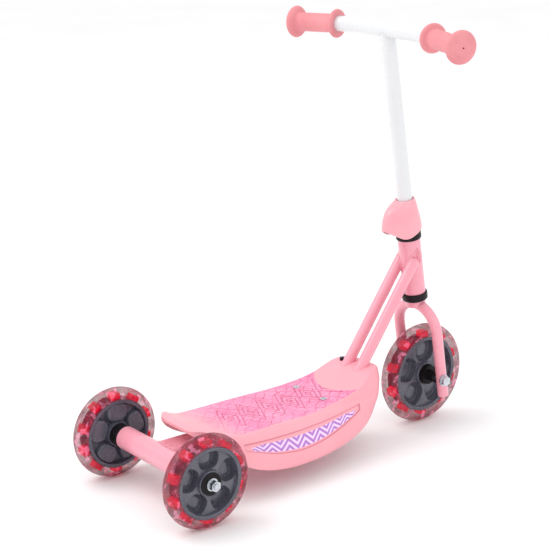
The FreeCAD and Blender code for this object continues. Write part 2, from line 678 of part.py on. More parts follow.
def bar_frame(side):
    """End of the bend and the outward direction of one end of the handlebar."""
    sweep = math.radians(BAR_SWEEP)
    bend_end = V(-BAR_BEND_R * (1 - math.cos(sweep)), side * (BAR_STRAIGHT + BAR_BEND_R * math.sin(sweep)),
                 BAR_HEIGHT)
    return bend_end, V(-math.sin(sweep), side * math.cos(sweep), 0)


def bar_path():
    """The swept handlebar: end run, bend, straight middle, bend and end run."""
    half = math.radians(BAR_SWEEP) / 2
    edges = []
    middle_ends = []
    for side in (-1, 1):
        bend_end, way = bar_frame(side)
        mid = V(-BAR_BEND_R * (1 - math.cos(half)), side * (BAR_STRAIGHT + BAR_BEND_R * math.sin(half)),
                BAR_HEIGHT)
        inner = V(0, side * BAR_STRAIGHT, BAR_HEIGHT)
        middle_ends.append(inner)
        tip = bend_end + way * BAR_END_RUN
        if side < 0:
            edges += [line(tip, bend_end), arc(bend_end, mid, inner)]
            edges.append(line(inner, V(0, BAR_STRAIGHT, BAR_HEIGHT)))
        else:
            edges += [arc(inner, mid, bend_end), line(bend_end, tip)]
    return edges


def handlebar():
    path = bar_path()
    return steered(pipe(path, STEM_R).cut(pipe(path, STEM_R - TUBE_WALL)))


def stem():
    """The straight post, coped at its top onto the handlebar that it is welded to."""
    body = rod(STEM_R, V(0, 0, STEM_BOTTOM), V(0, 0, BAR_HEIGHT), STEM_R - TUBE_WALL)
    return steered(body.cut(rod(STEM_R, V(0, -40, BAR_HEIGHT), V(0, 40, BAR_HEIGHT))))


def grip(side):
    """A moulded hand grip: a sleeve with an inner flange and a mushroom-shaped closed end."""
    bend_end, way = bar_frame(side)
    s0, s1 = GRIP_START, GRIP_END
    bore_end = BAR_END_RUN
    # The end face is part of a ball that stands GRIP_CROWN proud of its rim.
    rim_r = OUTER_FLANGE_R - 4
    half_r = rim_r / 2
    crown_r = (rim_r ** 2 + GRIP_CROWN ** 2) / (2 * GRIP_CROWN)
    crown_z = math.sqrt(crown_r ** 2 - half_r ** 2)
    outline = [
        line(V(STEM_R, 0, s0), V(INNER_FLANGE_R - 3, 0, s0)),
        arc(V(INNER_FLANGE_R - 3, 0, s0), V(INNER_FLANGE_R, 0, s0 + 3), V(INNER_FLANGE_R - 3, 0, s0 + 6)),
        line(V(INNER_FLANGE_R - 3, 0, s0 + 6), V(GRIP_R, 0, s0 + 8)),
        line(V(GRIP_R, 0, s0 + 8), V(GRIP_R, 0, s1 - 14)),
        line(V(GRIP_R, 0, s1 - 14), V(rim_r, 0, s1 - 11)),
        arc(V(rim_r, 0, s1 - 11), V(OUTER_FLANGE_R, 0, s1 - 6.5), V(rim_r, 0, s1 - GRIP_CROWN)),
        arc(V(rim_r, 0, s1 - GRIP_CROWN), V(half_r, 0, s1 - crown_r + crown_z), V(0, 0, s1)),
        line(V(0, 0, s1), V(0, 0, bore_end)),
        line(V(0, 0, bore_end), V(STEM_R, 0, bore_end)),
        line(V(STEM_R, 0, bore_end), V(STEM_R, 0, s0)),
    ]
    body = Part.Face(Part.Wire(outline)).revolve(V(0, 0, 0), V(0, 0, 1), 360)
    body.Placement = FreeCAD.Placement(bend_end, FreeCAD.Rotation(V(0, 0, 1), way))
    return steered(body)


def handlebar_group():
    save("stem", stem())
    save("handlebar", handlebar())
    for side, word in ((1, "left"), (-1, "right")):
        save("grip_%s" % word, grip(side))


# ---------------------------------------------------------------- whole scooter
os.makedirs("parts", exist_ok=True)
welded_frame()
rear_axle()
wheel("rear_left", REAR_AXLE + V(0, WHEEL_Y, 0), REAR_WHEEL_R, REAR_HUB_R, 1)
wheel("rear_right", REAR_AXLE - V(0, WHEEL_Y, 0), REAR_WHEEL_R, REAR_HUB_R, -1)
wheel("front", FRONT_AXLE, FRONT_WHEEL_R, FRONT_HUB_R, -1)
save("deck", deck())
deck_fasteners()
save("nose_bolt", nose_bolt())
steering_column()
front_axle()
handlebar_group()
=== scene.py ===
import json

import bpy
import numpy as np
from math import cos, pi, radians, sin
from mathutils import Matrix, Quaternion, Vector


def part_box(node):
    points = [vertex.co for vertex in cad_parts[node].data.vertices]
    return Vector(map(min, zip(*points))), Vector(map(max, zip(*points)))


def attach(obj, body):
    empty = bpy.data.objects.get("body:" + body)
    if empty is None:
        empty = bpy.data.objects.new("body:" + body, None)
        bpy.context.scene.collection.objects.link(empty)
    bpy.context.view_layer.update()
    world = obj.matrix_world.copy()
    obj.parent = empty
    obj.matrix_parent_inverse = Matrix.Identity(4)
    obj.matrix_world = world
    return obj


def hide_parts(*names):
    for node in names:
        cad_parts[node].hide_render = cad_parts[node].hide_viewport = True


# Looks of a toddler's three-wheeled kick scooter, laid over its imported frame. X points forward,
# Y to the scooter's left and Z up, in metres, with the origin on the ground.
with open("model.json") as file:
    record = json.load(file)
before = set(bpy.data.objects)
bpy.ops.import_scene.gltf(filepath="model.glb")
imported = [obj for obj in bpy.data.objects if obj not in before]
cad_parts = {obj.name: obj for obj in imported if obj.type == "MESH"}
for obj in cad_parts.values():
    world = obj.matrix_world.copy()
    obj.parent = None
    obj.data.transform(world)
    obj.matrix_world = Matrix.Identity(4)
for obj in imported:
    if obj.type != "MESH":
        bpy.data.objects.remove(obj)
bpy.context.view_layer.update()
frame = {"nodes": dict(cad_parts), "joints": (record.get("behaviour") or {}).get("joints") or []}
joints = {joint["name"]: joint for joint in frame["joints"]}
rear_axle = Vector(joints["rear_left_wheel_spin"]["pos_m"]) * Vector((1, 0, 1))
front_axle = Vector(joints["front_wheel_spin"]["pos_m"])
steer_base = Vector(joints["steering_turn"]["pos_m"])
steer_axis = Vector(joints["steering_turn"]["axis"])
steer_front = Vector((0, 1, 0)).cross(steer_axis)

# ---------------------------------------------------------------- painted steel frame
# Cross tube, box backbone, plates, twin down tubes and head tube: mild steel, welded together and
# powder coated pink in one go. The coat is glossy, with the faint orange peel of a baked powder.


class Finish:
    """A procedural finish: one Principled shader and the nodes that feed it."""

    def __init__(self, name, **sockets):
        self.material = bpy.data.materials.new(name)
        self.material.use_nodes = True
        self.tree = self.material.node_tree
        self.shader = self.tree.nodes["Principled BSDF"]
        self.place = self.tree.nodes.new("ShaderNodeTexCoord").outputs["Object"]
        for socket, value in sockets.items():
            self.feed(self.shader.inputs[socket.replace("_", " ")], value)

    def feed(self, socket, value):
        """Joins an output to a socket, or sets the socket to a constant."""
        if isinstance(value, bpy.types.NodeSocket):
            self.tree.links.new(value, socket)
        else:
            socket.default_value = value

    def add(self, kind, inputs, **settings):
        """Adds a node with its settings, and feeds inputs given by name or number."""
        node = self.tree.nodes.new("ShaderNode" + kind)
        for key, value in settings.items():
            setattr(node, key, value)
        for key, value in inputs.items():
            self.feed(node.inputs[key], value)
        return node

    def math(self, operation, *values):
        return self.add("Math", dict(enumerate(values)), operation=operation).outputs[0]

    def times(self, first, *rest):
        """The product of two or more values."""
        for value in rest:
            first = self.math("MULTIPLY", first, value)
        return first

    def parts(self, vector):
        """The three parts of a vector."""
        return self.add("SeparateXYZ", {0: vector}).outputs

    def stored(self, attribute):
        """The three parts of a vector that the mesh holds at its points."""
        return self.parts(self.add("Attribute", {}, attribute_name=attribute).outputs["Vector"])

    def noise(self, scale, low, high, detail=3.0):
        """Noise on Object coordinates that runs from low to high."""
        source = self.add("TexNoise", {"Vector": self.place, "Scale": scale, "Detail": detail})
        return self.ramp(source.outputs["Fac"], 0.3, 0.7, low, high)

    def stripes(self, value, count):
        """Stripes of a value, count to each unit of it: 0 on a stripe's middle line, 0.5 between two."""
        saw = self.math("FRACT", self.math("MULTIPLY", value, count))
        return self.math("ABSOLUTE", self.math("SUBTRACT", saw, 0.5))

    def ramp(self, value, start, end, low, high):
        """Maps a value between start and end onto low to high, held at both ends."""
        inputs = {"Value": value, "From Min": start, "From Max": end, "To Min": low, "To Max": high}
        return self.add("MapRange", inputs).outputs["Result"]

    def mix(self, factor, first, second):
        """First colour where factor is 0, second where it is 1."""
        node = self.add("Mix", {"Factor": factor, 6: first, 7: second}, data_type="RGBA")
        return node.outputs[2]

    def bump(self, height, distance, strength=1.0):
        """Adds height, in metres times distance, to the relief that the shader already has."""
        inputs = {"Height": height, "Distance": distance, "Strength": strength}
        links = self.shader.inputs["Normal"].links
        if links:
            inputs["Normal"] = links[0].from_socket
        self.feed(self.shader.inputs["Normal"], self.add("Bump", inputs).outputs["Normal"])


def tint(red, green, blue):
    """A paint chart's 0 to 255 colour, made linear."""
    chart = np.array([red, green, blue]) / 255
    linear = np.where(chart <= 0.04045, chart / 12.92, ((chart + 0.055) / 1.055) ** 2.4)
    return (*[float(v) for v in linear], 1.0)


def mottled(name, colours, drift, gloss, grains, **sockets):
    """A finish whose colour drifts between two, with uneven gloss and a fine relief.

    drift and gloss are (noise scale, low, high); a grain is (noise scale, height in metres, detail).
    """
    finish = Finish(name, **sockets)
    finish.feed(finish.shader.inputs["Base Color"], finish.mix(finish.noise(*drift), *colours))
    finish.feed(finish.shader.inputs["Roughness"], finish.noise(*gloss))
    for scale, height, detail in grains:
        finish.bump(finish.noise(scale, 0.0, 1.0, detail), height)
    return finish


def powder_coat(name, colour, shade, peel):
    """Glossy baked powder, with orange peel of the given height and finer specks."""
    return mottled(name, (colour, shade), (14, 0.0, 0.35), (60, 0.24, 0.34),
                   ((420, peel, 2.0), (2600, peel / 6, 1.0)),
                   Coat_Weight=0.6, Coat_Roughness=0.08, Specular_IOR_Level=0.5)


def paint_nodes(finish, *nodes):
    """Gives CAD nodes a finish in place of their plain one."""
    for node in nodes:
        for slot in frame["nodes"][node].material_slots:
            slot.material = finish.material


PINK = tint(240, 160, 176)
PINK_SHADE = tint(232, 144, 162)
pink_coat = powder_coat("pink_powder_coat", PINK, PINK_SHADE, 0.00003)
paint_nodes(pink_coat, "head_tube", "down_tube_left", "down_tube_right", "backbone_tube", "joint_plate",
            "deck_plate", "rear_axle_tube", "fork")

# ---------------------------------------------------------------- weld beads of the frame
# The seams where tubes and plates meet: steel laid down as a row of small overlapping puddles,
# under the same powder. Each bead follows the line in which its two pieces cut each other.


def unit(vectors):
    return vectors / np.maximum(np.linalg.norm(vectors, axis=-1, keepdims=True), 1e-12)


def shell(points, around=True, along=False, ends=(False, False)):
    """Corners and faces of a grid of points, rows by columns.

    around joins the last column to the first, along joins the last row to the first, and a closed
    end gets a centre point and a fan. The faces are turned so that the volume inside is positive.
    """
    rows, columns = points.shape[:2]
    index = np.arange(rows * columns).reshape(rows, columns)
    if around:
        index = np.column_stack([index, index[:, :1]])
    if along:
        index = np.vstack([index, index[:1]])
    quads = np.stack([index[:-1, :-1], index[:-1, 1:], index[1:, 1:], index[1:, :-1]], -1).reshape(-1, 4)
    corners = points.reshape(-1, 3)
    fans = np.zeros((0, 3), int)
    for closed, row, order in ((ends[0], 0, (1, 0, 2)), (ends[1], -1, (0, 1, 2))):
        if closed:
            centre = len(corners)
            corners = np.vstack([corners, points[row].mean(0)])
            ring = index[row]
            fan = np.stack([ring[:-1], ring[1:], np.full(len(ring) - 1, centre)], -1)
            fans = np.vstack([fans, fan[:, order]])
    triangles = np.vstack([quads[:, [0, 1, 2]], quads[:, [0, 2, 3]], fans])
    a, b, c = (corners[triangles[:, k]] for k in range(3))
    if np.einsum("ij,ij->i", a, np.cross(b, c)).sum() < 0:
        quads, fans = quads[:, ::-1], fans[:, ::-1]
    return corners, quads, fans


def piece(name, shells, finish, body, replaced=(), sharp=35.0):
    """One object from one or more shells, riding on a CAD body, with edges over sharp degrees crisp."""
    corners, quads, fans, start = [], [], [], 0
    for points, four, three in shells:
        corners.append(points)
        quads.append(four + start)
        fans.append(three + start)
        start += len(points)
    corners, quads, fans = np.vstack(corners), np.vstack(quads), np.vstack(fans)
    mesh = bpy.data.meshes.new(name)
    mesh.vertices.add(len(corners))
    mesh.vertices.foreach_set("co", corners.astype(np.float32).ravel())
    mesh.loops.add(quads.size + fans.size)
    mesh.loops.foreach_set("vertex_index", np.concatenate([quads.ravel(), fans.ravel()]).astype(np.int32))
    mesh.polygons.add(len(quads) + len(fans))
    first = np.concatenate([np.arange(len(quads)) * 4, quads.size + np.arange(len(fans)) * 3])
    mesh.polygons.foreach_set("loop_start", first.astype(np.int32))
    mesh.update(calc_edges=True)
    mesh.polygons.foreach_set("use_smooth", np.ones(len(mesh.polygons), bool))
    mesh.set_sharp_from_angle(angle=radians(sharp))
    made = bpy.data.objects.new(name, mesh)
    bpy.context.scene.collection.objects.link(made)
    mesh.materials.append(finish.material)
    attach(made, body)
    if replaced:
        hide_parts(*replaced)
    return made


def bead(path, radius=0.0016, sides=10, pitch=0.0022):
    """A closed weld bead: circles about a loop, their size swelling once every pitch along it.

    Each circle stands square to the loop: point = path + r (cos a * outward + sin a * across).
    """
    tangent = unit(np.roll(path, -1, 0) - np.roll(path, 1, 0))
    outward = path - path.mean(0)
    outward = unit(outward - (outward * tangent).sum(-1, keepdims=True) * tangent)
    across = np.cross(tangent, outward)
    step = np.linalg.norm(np.roll(path, -1, 0) - path, axis=-1)
    puddles = max(round(step.sum() / pitch), 1)
    travelled = np.cumsum(step) / step.sum() * puddles
    swell = radius * (0.88 + 0.14 * np.abs(np.sin(pi * travelled)))
    angle = np.linspace(0, 2 * pi, sides, endpoint=False)
    ring = np.cos(angle)[None, :, None] * outward[:, None] + np.sin(angle)[None, :, None] * across[:, None]
    return shell(path[:, None] + swell[:, None, None] * ring, along=True)


def tube_on_tube(start, way, radius, axis_point, axis, other_radius, count=220):
    """Line in which a tube, run along way from start, first meets a round tube about an axis."""
    start, way, axis_point, axis = (np.array(v) for v in (start, way, axis_point, axis))
    turn = np.linspace(0, 2 * pi, count, endpoint=False)[:, None]
    side = unit(np.cross(way, axis))
    skin = start + radius * (np.cos(turn) * side + np.sin(turn) * np.cross(way, side))
    flat_way = way - way @ axis * axis
    offset = skin - axis_point
    offset = offset - (offset @ axis)[:, None] * axis
    a, b = flat_way @ flat_way, offset @ flat_way
    c = (offset ** 2).sum(-1) - other_radius ** 2
    return skin + ((-b - np.sqrt(np.maximum(b * b - a * c, 0))) / a)[:, None] * way


STEEL_R = 0.008
HEAD_R = 0.0165
RISE = radians(54.8)
KNEE_X = rear_axle.x + 0.3064
low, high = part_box("down_tube_left")
twin_y = (low.y + high.y) / 2
twin_z = low.z + STEEL_R
backbone_low, backbone_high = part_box("backbone_tube")
plate_low, plate_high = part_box("joint_plate")


def rectangle_round_backbone(x_of_z, count=200):
    """The backbone's outline, corners rounded: a superellipse in Y and Z, with X worked out from Z."""
    turn = np.linspace(0, 2 * pi, count, endpoint=False)
    y = backbone_high.y * np.sign(np.cos(turn)) * np.abs(np.cos(turn)) ** 0.22
    middle, half = (backbone_low.z + backbone_high.z) / 2, (backbone_high.z - backbone_low.z) / 2
    z = middle + half * np.sign(np.sin(turn)) * np.abs(np.sin(turn)) ** 0.3
    return np.stack([x_of_z(z), y, z], -1)


axle_tube_r = (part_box("rear_axle_tube")[1].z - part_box("rear_axle_tube")[0].z) / 2
beads = [
    bead(rectangle_round_backbone(
        lambda z: rear_axle.x + np.sqrt(np.maximum(axle_tube_r ** 2 - (z - rear_axle.z) ** 2, 0)))),
    bead(rectangle_round_backbone(lambda z: np.full_like(z, plate_low.x))),
]
for side in (1, -1):
    knee = (KNEE_X, side * twin_y, twin_z)
    beads.append(bead(tube_on_tube(knee, (cos(RISE), 0, sin(RISE)), STEEL_R,
                                   steer_base, steer_axis, HEAD_R)))
    turn = np.linspace(0, 2 * pi, 90, endpoint=False)
    beads.append(bead(np.stack([
        np.full_like(turn, plate_high.x),
        side * twin_y + STEEL_R * np.cos(turn),
        twin_z + STEEL_R * np.sin(turn),
    ], -1)))
piece("frame_weld_beads", beads, pink_coat, "frame")

# The upper end of each down tube is closed by a pressed dome that lies against the head tube.
TIP_LENGTH = 0.0045
tip_z = high.z - STEEL_R * cos(RISE)


def tube_tip(side):
    """Half a ball flattened along the tube's slope, and pushed out to the skin of the head tube."""
    slope = np.array((cos(RISE), 0, sin(RISE)))
    across = np.array((0.0, 1.0, 0.0))
    up = np.cross(slope, across)
    place = np.array((KNEE_X, side * twin_y, twin_z)) + slope * (tip_z - twin_z) / sin(RISE)
    lift = np.concatenate([[-0.4], np.linspace(0, 0.98, 14)])[:, None, None]
    turn = np.linspace(0, 2 * pi, 48, endpoint=False)[None, :, None]
    radius = (STEEL_R - 0.00005) * np.sqrt(1 - np.maximum(lift, 0) ** 2)
    points = place + lift * TIP_LENGTH * slope + radius * (np.cos(turn) * across + np.sin(turn) * up)
    axis = np.array(steer_axis)
    offset = points - np.array(steer_base)
    along = (offset @ axis)[..., None] * axis
    outward = offset - along
    distance = np.linalg.norm(outward, axis=-1, keepdims=True)
    outward = outward * np.maximum(1, (HEAD_R - 0.0008) / distance)
    return shell(np.array(steer_base) + along + outward, ends=(True, True))


piece("down_tube_tips", [tube_tip(side) for side in (1, -1)], pink_coat, "frame")

# ---------------------------------------------------------------- deck shell
# One injection moulding in pink polypropylene, open below. Its top is flat behind and rises to a
# rounded nose, the tail turns up into a thin lip, and each flank has a shallow sunk panel. Lengths
# are counted from the rear axle, heights from the ground.
HULL = np.array([
    # height, widest half width, front end, rear end, taper to the nose
    (0.020, 0.0720, 0.3380, 0.040, 0.58),
    (0.030, 0.0790, 0.3500, 0.036, 0.58),
    (0.042, 0.0820, 0.3600, 0.034, 0.58),
    (0.058, 0.0780, 0.3670, 0.032, 0.57),
    (0.075, 0.0710, 0.3720, 0.030, 0.47),
    (0.083, 0.0650, 0.3730, 0.029, 0.40),
    (0.089, 0.0575, 0.3730, 0.028, 0.31),
    (0.098, 0.0565, 0.3725, 0.028, 0.27),
    (0.107, 0.0555, 0.3715, 0.028, 0.28),
    (0.122, 0.0520, 0.3690, 0.028, 0.32),
])
WIDEST_X = 0.165
TOP_LINE = np.array([(0.028, 0.0990), (0.034, 0.1016), (0.042, 0.1008), (0.054, 0.0950), (0.068, 0.0900),
                     (0.085, 0.0880), (0.155, 0.0880), (0.225, 0.0880), (0.258, 0.0910), (0.290, 0.0955),
                     (0.310, 0.1010), (0.324, 0.1085), (0.336, 0.1145), (0.350, 0.1175), (0.364, 0.1155),
                     (0.374, 0.1095), (0.380, 0.1020)])
LOW_LINE = np.array([(0.028, 0.0953), (0.042, 0.0850), (0.060, 0.0680), (0.093, 0.0470), (0.127, 0.0350),
                     (0.161, 0.0290), (0.200, 0.0275), (0.240, 0.0290), (0.281, 0.0335), (0.318, 0.0430),
                     (0.345, 0.0550), (0.366, 0.0660), (0.380, 0.0780)])
DECK_WALL = 0.003
PANEL_X = (0.090, 0.303)
PANEL_TOP = np.array([(0.080, 0.0775), (0.130, 0.0755), (0.182, 0.0755), (0.242, 0.0770), (0.310, 0.0805)])
PANEL_LOW = np.array([(0.080, 0.0725), (0.100, 0.0670), (0.139, 0.0560), (0.178, 0.0515), (0.215, 0.0530),
                      (0.255, 0.0590), (0.288, 0.0670), (0.310, 0.0740)])
PANEL_DEPTH = 0.0020
PANEL_SLOPE = 0.0018


def through(knots, x):
    """A smooth curve through knots: cubic pieces whose slopes follow the neighbouring chords."""
    across, up = knots[:, 0], knots[:, 1]
    slope = np.gradient(up, across)
    i = np.clip(np.searchsorted(across, x) - 1, 0, len(across) - 2)
    step = across[i + 1] - across[i]
    t = np.clip((x - across[i]) / step, 0, 1)
    rise = up[i + 1] - up[i]
    bend_in = step * slope[i] - rise
    bend_out = rise - step * slope[i + 1]
    return up[i] + t * rise + t * (1 - t) * ((1 - t) * bend_in + t * bend_out)


def ease(value, start, end):
    """0 up to start and 1 from end on, turning smoothly between."""
    t = np.clip((value - start) / (end - start), 0, 1)
    return t * t * (3 - 2 * t)


def outline_shares(count):
    """Evenly spaced places round the hull, nose to tail on the right and back on the left.

    Each has a share u of the length from the widest place, 1 at the nose and -1 at the tail, and a
    share w of the half width: sqrt(1 - u^14) ahead, (1 - |u|^5.26)^0.19 behind.
    """
    turn = np.linspace(0, pi / 2, 4000)
    ahead = np.unique(np.concatenate([np.linspace(0, 1, 4000), np.sin(turn) ** (1 / 7)]))
    behind = np.unique(np.concatenate([np.linspace(0, 1, 4000), np.sin(turn) ** 0.38]))
    u = np.concatenate([ahead[::-1], -behind[1:]])
    w = np.where(u > 0, np.sqrt(1 - np.abs(u) ** 14), (1 - np.abs(u) ** (1 / 0.19)) ** 0.19)
    length = np.concatenate([[0], np.cumsum(np.hypot(np.diff(u) * 0.17, np.diff(w) * 0.07))])
    even = np.linspace(0, length[-1], count)
    u, w = np.interp(even, length, u), np.interp(even, length, w)
    w[0] = w[-1] = 0
    return np.concatenate([u, u[-2:0:-1]]), np.concatenate([-w, w[-2:0:-1]])


def hull_at(u, w, z, inset):
    """X and Y of the hull's skin at height z; ahead, the width also shrinks by taper times u^2."""
    half, front, rear, taper = (through(HULL[:, [0, k]], z) for k in (1, 2, 3, 4))
    ahead, behind = front - inset - WIDEST_X, WIDEST_X - rear - inset
    narrowing = np.where(u > 0, 1 - taper * u ** 2, 1)
    return WIDEST_X + np.where(u > 0, u * ahead, u * behind), (half - inset) * w * narrowing


def hull_row(u, w, share, inset=0.0, drop=0.0):
    """One row round the hull, at a share of the way up from its lower edge to its top."""
    z = np.full_like(u, 0.08)
    for _ in range(30):
        x, _y = hull_at(u, w, z, inset)
        low_z, top_z = through(LOW_LINE, x), through(TOP_LINE, x) - drop
        z = 0.5 * z + 0.5 * (low_z + share * (top_z - low_z))
    x, y = hull_at(u, w, z, inset)
    return np.stack([x, y, z], -1)


def fill(edge, shares, drop=0.0):
    """Rows from an edge in to the mid-line, on the top's own curve."""
    spine = np.clip(edge[:, 0], 0.085, 0.315)
    rows = []
    for share in shares:
        x = spine + share * (edge[:, 0] - spine)
        rows.append(np.stack([x, share * edge[:, 1], through(TOP_LINE, x) - drop], -1))
    return rows


u, w = outline_shares(300)
edge = hull_row(u, w, 1.0)
top_shares = np.concatenate([np.linspace(0, 0.88, 26), np.linspace(0.90, 1.0, 10)])
side_shares = np.concatenate([np.linspace(0.985, 0.9, 9), np.linspace(0.885, 0.0, 62)])
top = fill(edge, top_shares)
flank = [hull_row(u, w, share) for share in side_shares]
inner_edge = hull_row(u, w, 1.0, DECK_WALL, DECK_WALL)
inside = [hull_row(u, w, share, DECK_WALL, DECK_WALL) for share in np.linspace(0.0, 1.0, 22)]
ceiling = fill(inner_edge, np.linspace(0.95, 0, 12), DECK_WALL)
rows = np.array(top + flank + inside + ceiling)

# The corner between top and flank, and the lower rim, are eased by averaging neighbouring rows.
corner = len(top)
rim = len(top) + len(flank)
for middle, reach, rounds in ((corner, 7, 14), (rim, 1, 2)):
    for _ in range(rounds):
        part = slice(middle - reach, middle + reach)
        before, after = slice(part.start - 1, part.stop - 1), slice(part.start + 1, part.stop + 1)
        rows[part] = 0.5 * rows[part] + 0.25 * rows[before] + 0.25 * rows[after]

# The flank panels sink along the skin's own normal.
x, y, z = rows[..., 0], rows[..., 1], rows[..., 2]
panel_share = (z - through(PANEL_LOW, x)) / (through(PANEL_TOP, x) - through(PANEL_LOW, x))
room = np.minimum(np.minimum(z - through(PANEL_LOW, x), through(PANEL_TOP, x) - z),
                  np.minimum(x - PANEL_X[0], PANEL_X[1] - x))
sunk = ease(room, -PANEL_SLOPE / 2, PANEL_SLOPE / 2)
sunk[:corner + 4] = 0
sunk[rim - 1:] = 0
round_way = unit(np.roll(rows, -1, 1) - np.roll(rows, 1, 1))
down_way = unit(np.gradient(rows, axis=0))
normal = unit(np.cross(down_way, round_way))
normal *= np.sign((normal[..., 1:2] * y[..., None]))
rows = rows - sunk[..., None] * PANEL_DEPTH * normal
panel = np.stack([(x - PANEL_X[0]) / (PANEL_X[1] - PANEL_X[0]), panel_share, sunk], -1)
on_top = np.zeros(len(rows))
on_top[:corner] = 1
reach_out = np.concatenate([top_shares, np.ones(len(rows) - len(top_shares))])
print_map = np.stack(np.broadcast_arrays(x, reach_out[:, None], on_top[:, None]), -1)
rows[..., 0] += rear_axle.x

deck_finish = Finish("deck_polypropylene", Specular_IOR_Level=0.45)
PLASTIC = tint(247, 170, 181)
PLASTIC_SHADE = tint(240, 155, 168)
PRINT_MAUVE = tint(234, 122, 170)
PRINT_ROSE = tint(200, 52, 104)
PRINT_PALE = tint(246, 164, 198)
# Painted shade for the line in the panel creases.
PAINTED_CREASE_SHADE = tint(206, 108, 128)
PANEL_LILAC = tint(196, 140, 214)
PANEL_DARK = tint(160, 104, 190)
PANEL_SILVER = tint(240, 214, 244)
PRINT_FRONT = 0.283           # front limit of the print on the mid-line
PRINT_BOW = 10.0              # its bow forward to the sides, in metres per square metre
PRINT_REAR = (0.066, 0.112)   # the print fades in between these
EMBLEM_LENGTH = 0.034
EMBLEM_HALF = 0.044


def printed_art(finish, back, across, out, top_only):
    """The printed part of the top: where it lies, and its colour, sketched strokes over a soft wash."""
    bow = finish.times(across, across, PRINT_BOW)
    ahead = finish.math("SUBTRACT", finish.math("ADD", bow, PRINT_FRONT), back)
    ragged = finish.math("ADD", back, finish.noise(35, -0.004, 0.004, 2.0))
    region = finish.times(finish.ramp(ahead, 0.0, 0.0006, 0, 1), finish.ramp(ragged, *PRINT_REAR, 0, 1),
                          finish.ramp(out, 0.955, 0.96, 1, 0), top_only)
    wash = finish.mix(finish.noise(26, 0.15, 0.9), PRINT_MAUVE, PRINT_PALE)
    # Thin bands of three bent waves, which cross each other at different slants.
    strokes = 0.0
    for turn, scale, width in ((1.45, 36.0, 0.07), (0.85, 24.0, 0.06), (-0.7, 19.0, 0.05)):
        slanted = finish.add("Mapping", {"Vector": finish.place, "Rotation": (0, 0, turn)})
        wave = finish.add("TexWave", {"Vector": slanted.outputs[0], "Scale": scale, "Distortion": 3.4,
                                      "Detail": 1.5, "Detail Scale": 2.2}, wave_profile="TRI")
        strokes = finish.math("MAXIMUM", strokes, finish.ramp(wave.outputs["Fac"], width, width * 2, 1, 0))
    # A row of plain emblems down the middle: nested lozenges, one in each cell of the length.
    cell = finish.math("SUBTRACT", finish.math("FRACT", finish.math("DIVIDE", back, EMBLEM_LENGTH)), 0.5)
    lozenge = finish.math("ADD", finish.times(finish.math("ABSOLUTE", cell), 1.5),
                          finish.math("ABSOLUTE", finish.math("DIVIDE", across, EMBLEM_HALF)))
    emblem = finish.times(finish.ramp(finish.stripes(lozenge, 3.2), 0.13, 0.17, 1, 0),
                          finish.ramp(lozenge, 0.80, 0.82, 1, 0))
    art = finish.mix(finish.times(strokes, finish.noise(50, 0.35, 1.0)), wash, PRINT_ROSE)
    return region, finish.mix(finish.times(emblem, 0.8), art, PRINT_ROSE)


def panel_foil(finish, along, up, sunk_in):
    """The foil in a flank panel: where it lies, and its colour, zigzags of lilac and silver."""
    # Its upper limit comes down on the lower one at both ends, so the foil ends in points.
    ends = finish.times(along, finish.math("SUBTRACT", 1.0, along), 4.0)
    below_roof = finish.math("SUBTRACT", finish.ramp(ends, 0.0, 0.5, 0.35, 0.80), up)
    foil = finish.times(finish.ramp(below_roof, 0.0, 0.03, 0, 1), finish.ramp(up, 0.10, 0.13, 0, 1),
                        finish.ramp(sunk_in, 0.9, 0.96, 0, 1), finish.ramp(along, 0.05, 0.055, 0, 1),
                        finish.ramp(along, 0.955, 0.96, 1, 0))
    zigzag = finish.math("PINGPONG", finish.times(along, 7.5), 0.5)
    stripe = finish.stripes(finish.math("SUBTRACT", finish.times(zigzag, 1.1), up), 2.6)
    colour = finish.mix(finish.ramp(stripe, 0.27, 0.30, 0, 1), PANEL_LILAC, PANEL_SILVER)
    return foil, finish.mix(finish.ramp(stripe, 0.06, 0.08, 1, 0), colour, PANEL_DARK)


def deck_skin(finish):
    """The deck's colours: moulded pink, a loose printed pattern on top and a lilac foil in each panel."""
    back, out, top_only = finish.stored("print")
    along, up, sunk_in = finish.stored("panel")
    region, art = printed_art(finish, back, finish.parts(finish.place)[1], out, top_only)
    foil, foil_colour = panel_foil(finish, along, up, sunk_in)
    plain = finish.mix(finish.noise(9, 0.0, 0.5), PLASTIC, PLASTIC_SHADE)
    # A darker line of painted shade lies along the fold round each panel, where the wall turns in.
    crease_shade = finish.times(sunk_in, finish.math("SUBTRACT", 1.0, sunk_in), 3.4)
    colour = finish.mix(finish.math("MINIMUM", crease_shade, 0.8), finish.mix(region, plain, art), PAINTED_CREASE_SHADE)
    finish.feed(finish.shader.inputs["Base Color"], finish.mix(foil, colour, foil_colour))
    rough = finish.math("SUBTRACT", finish.noise(70, 0.36, 0.46), finish.times(foil, 0.16))
    rough = finish.math("SUBTRACT", rough, finish.times(region, 0.05))
    finish.feed(finish.shader.inputs["Roughness"], rough)
    finish.bump(finish.noise(900, 0.0, 1.0, 2.0), 0.00005)
    finish.bump(finish.noise(40, 0.0, 1.0, 1.0), 0.0003, 0.3)


deck_skin(deck_finish)
deck = piece("deck_shell", [shell(rows)], deck_finish, "frame", ["deck"], sharp=60.0)
for name, values in (("print", print_map), ("panel", panel)):
    attribute = deck.data.attributes.new(name, "FLOAT_VECTOR", "POINT")
    attribute.data.foreach_set("vector", values.reshape(-1).astype(np.float32))

# ---------------------------------------------------------------- deck ribs and bosses
# Moulded with the deck: a grid of thin ribs under the standing surface that rests on the frame, and a
# round boss for every screw.
RIB_T = 0.0024
RIB_LOW = 0.077
CEILING_DIP = 0.0026          # the ribs end this far below the deck's top, within its wall
# Places along the deck are counted from the rear axle.
LONG_RIB = (0.070, 0.300)
LONG_RIB_Y = 0.046
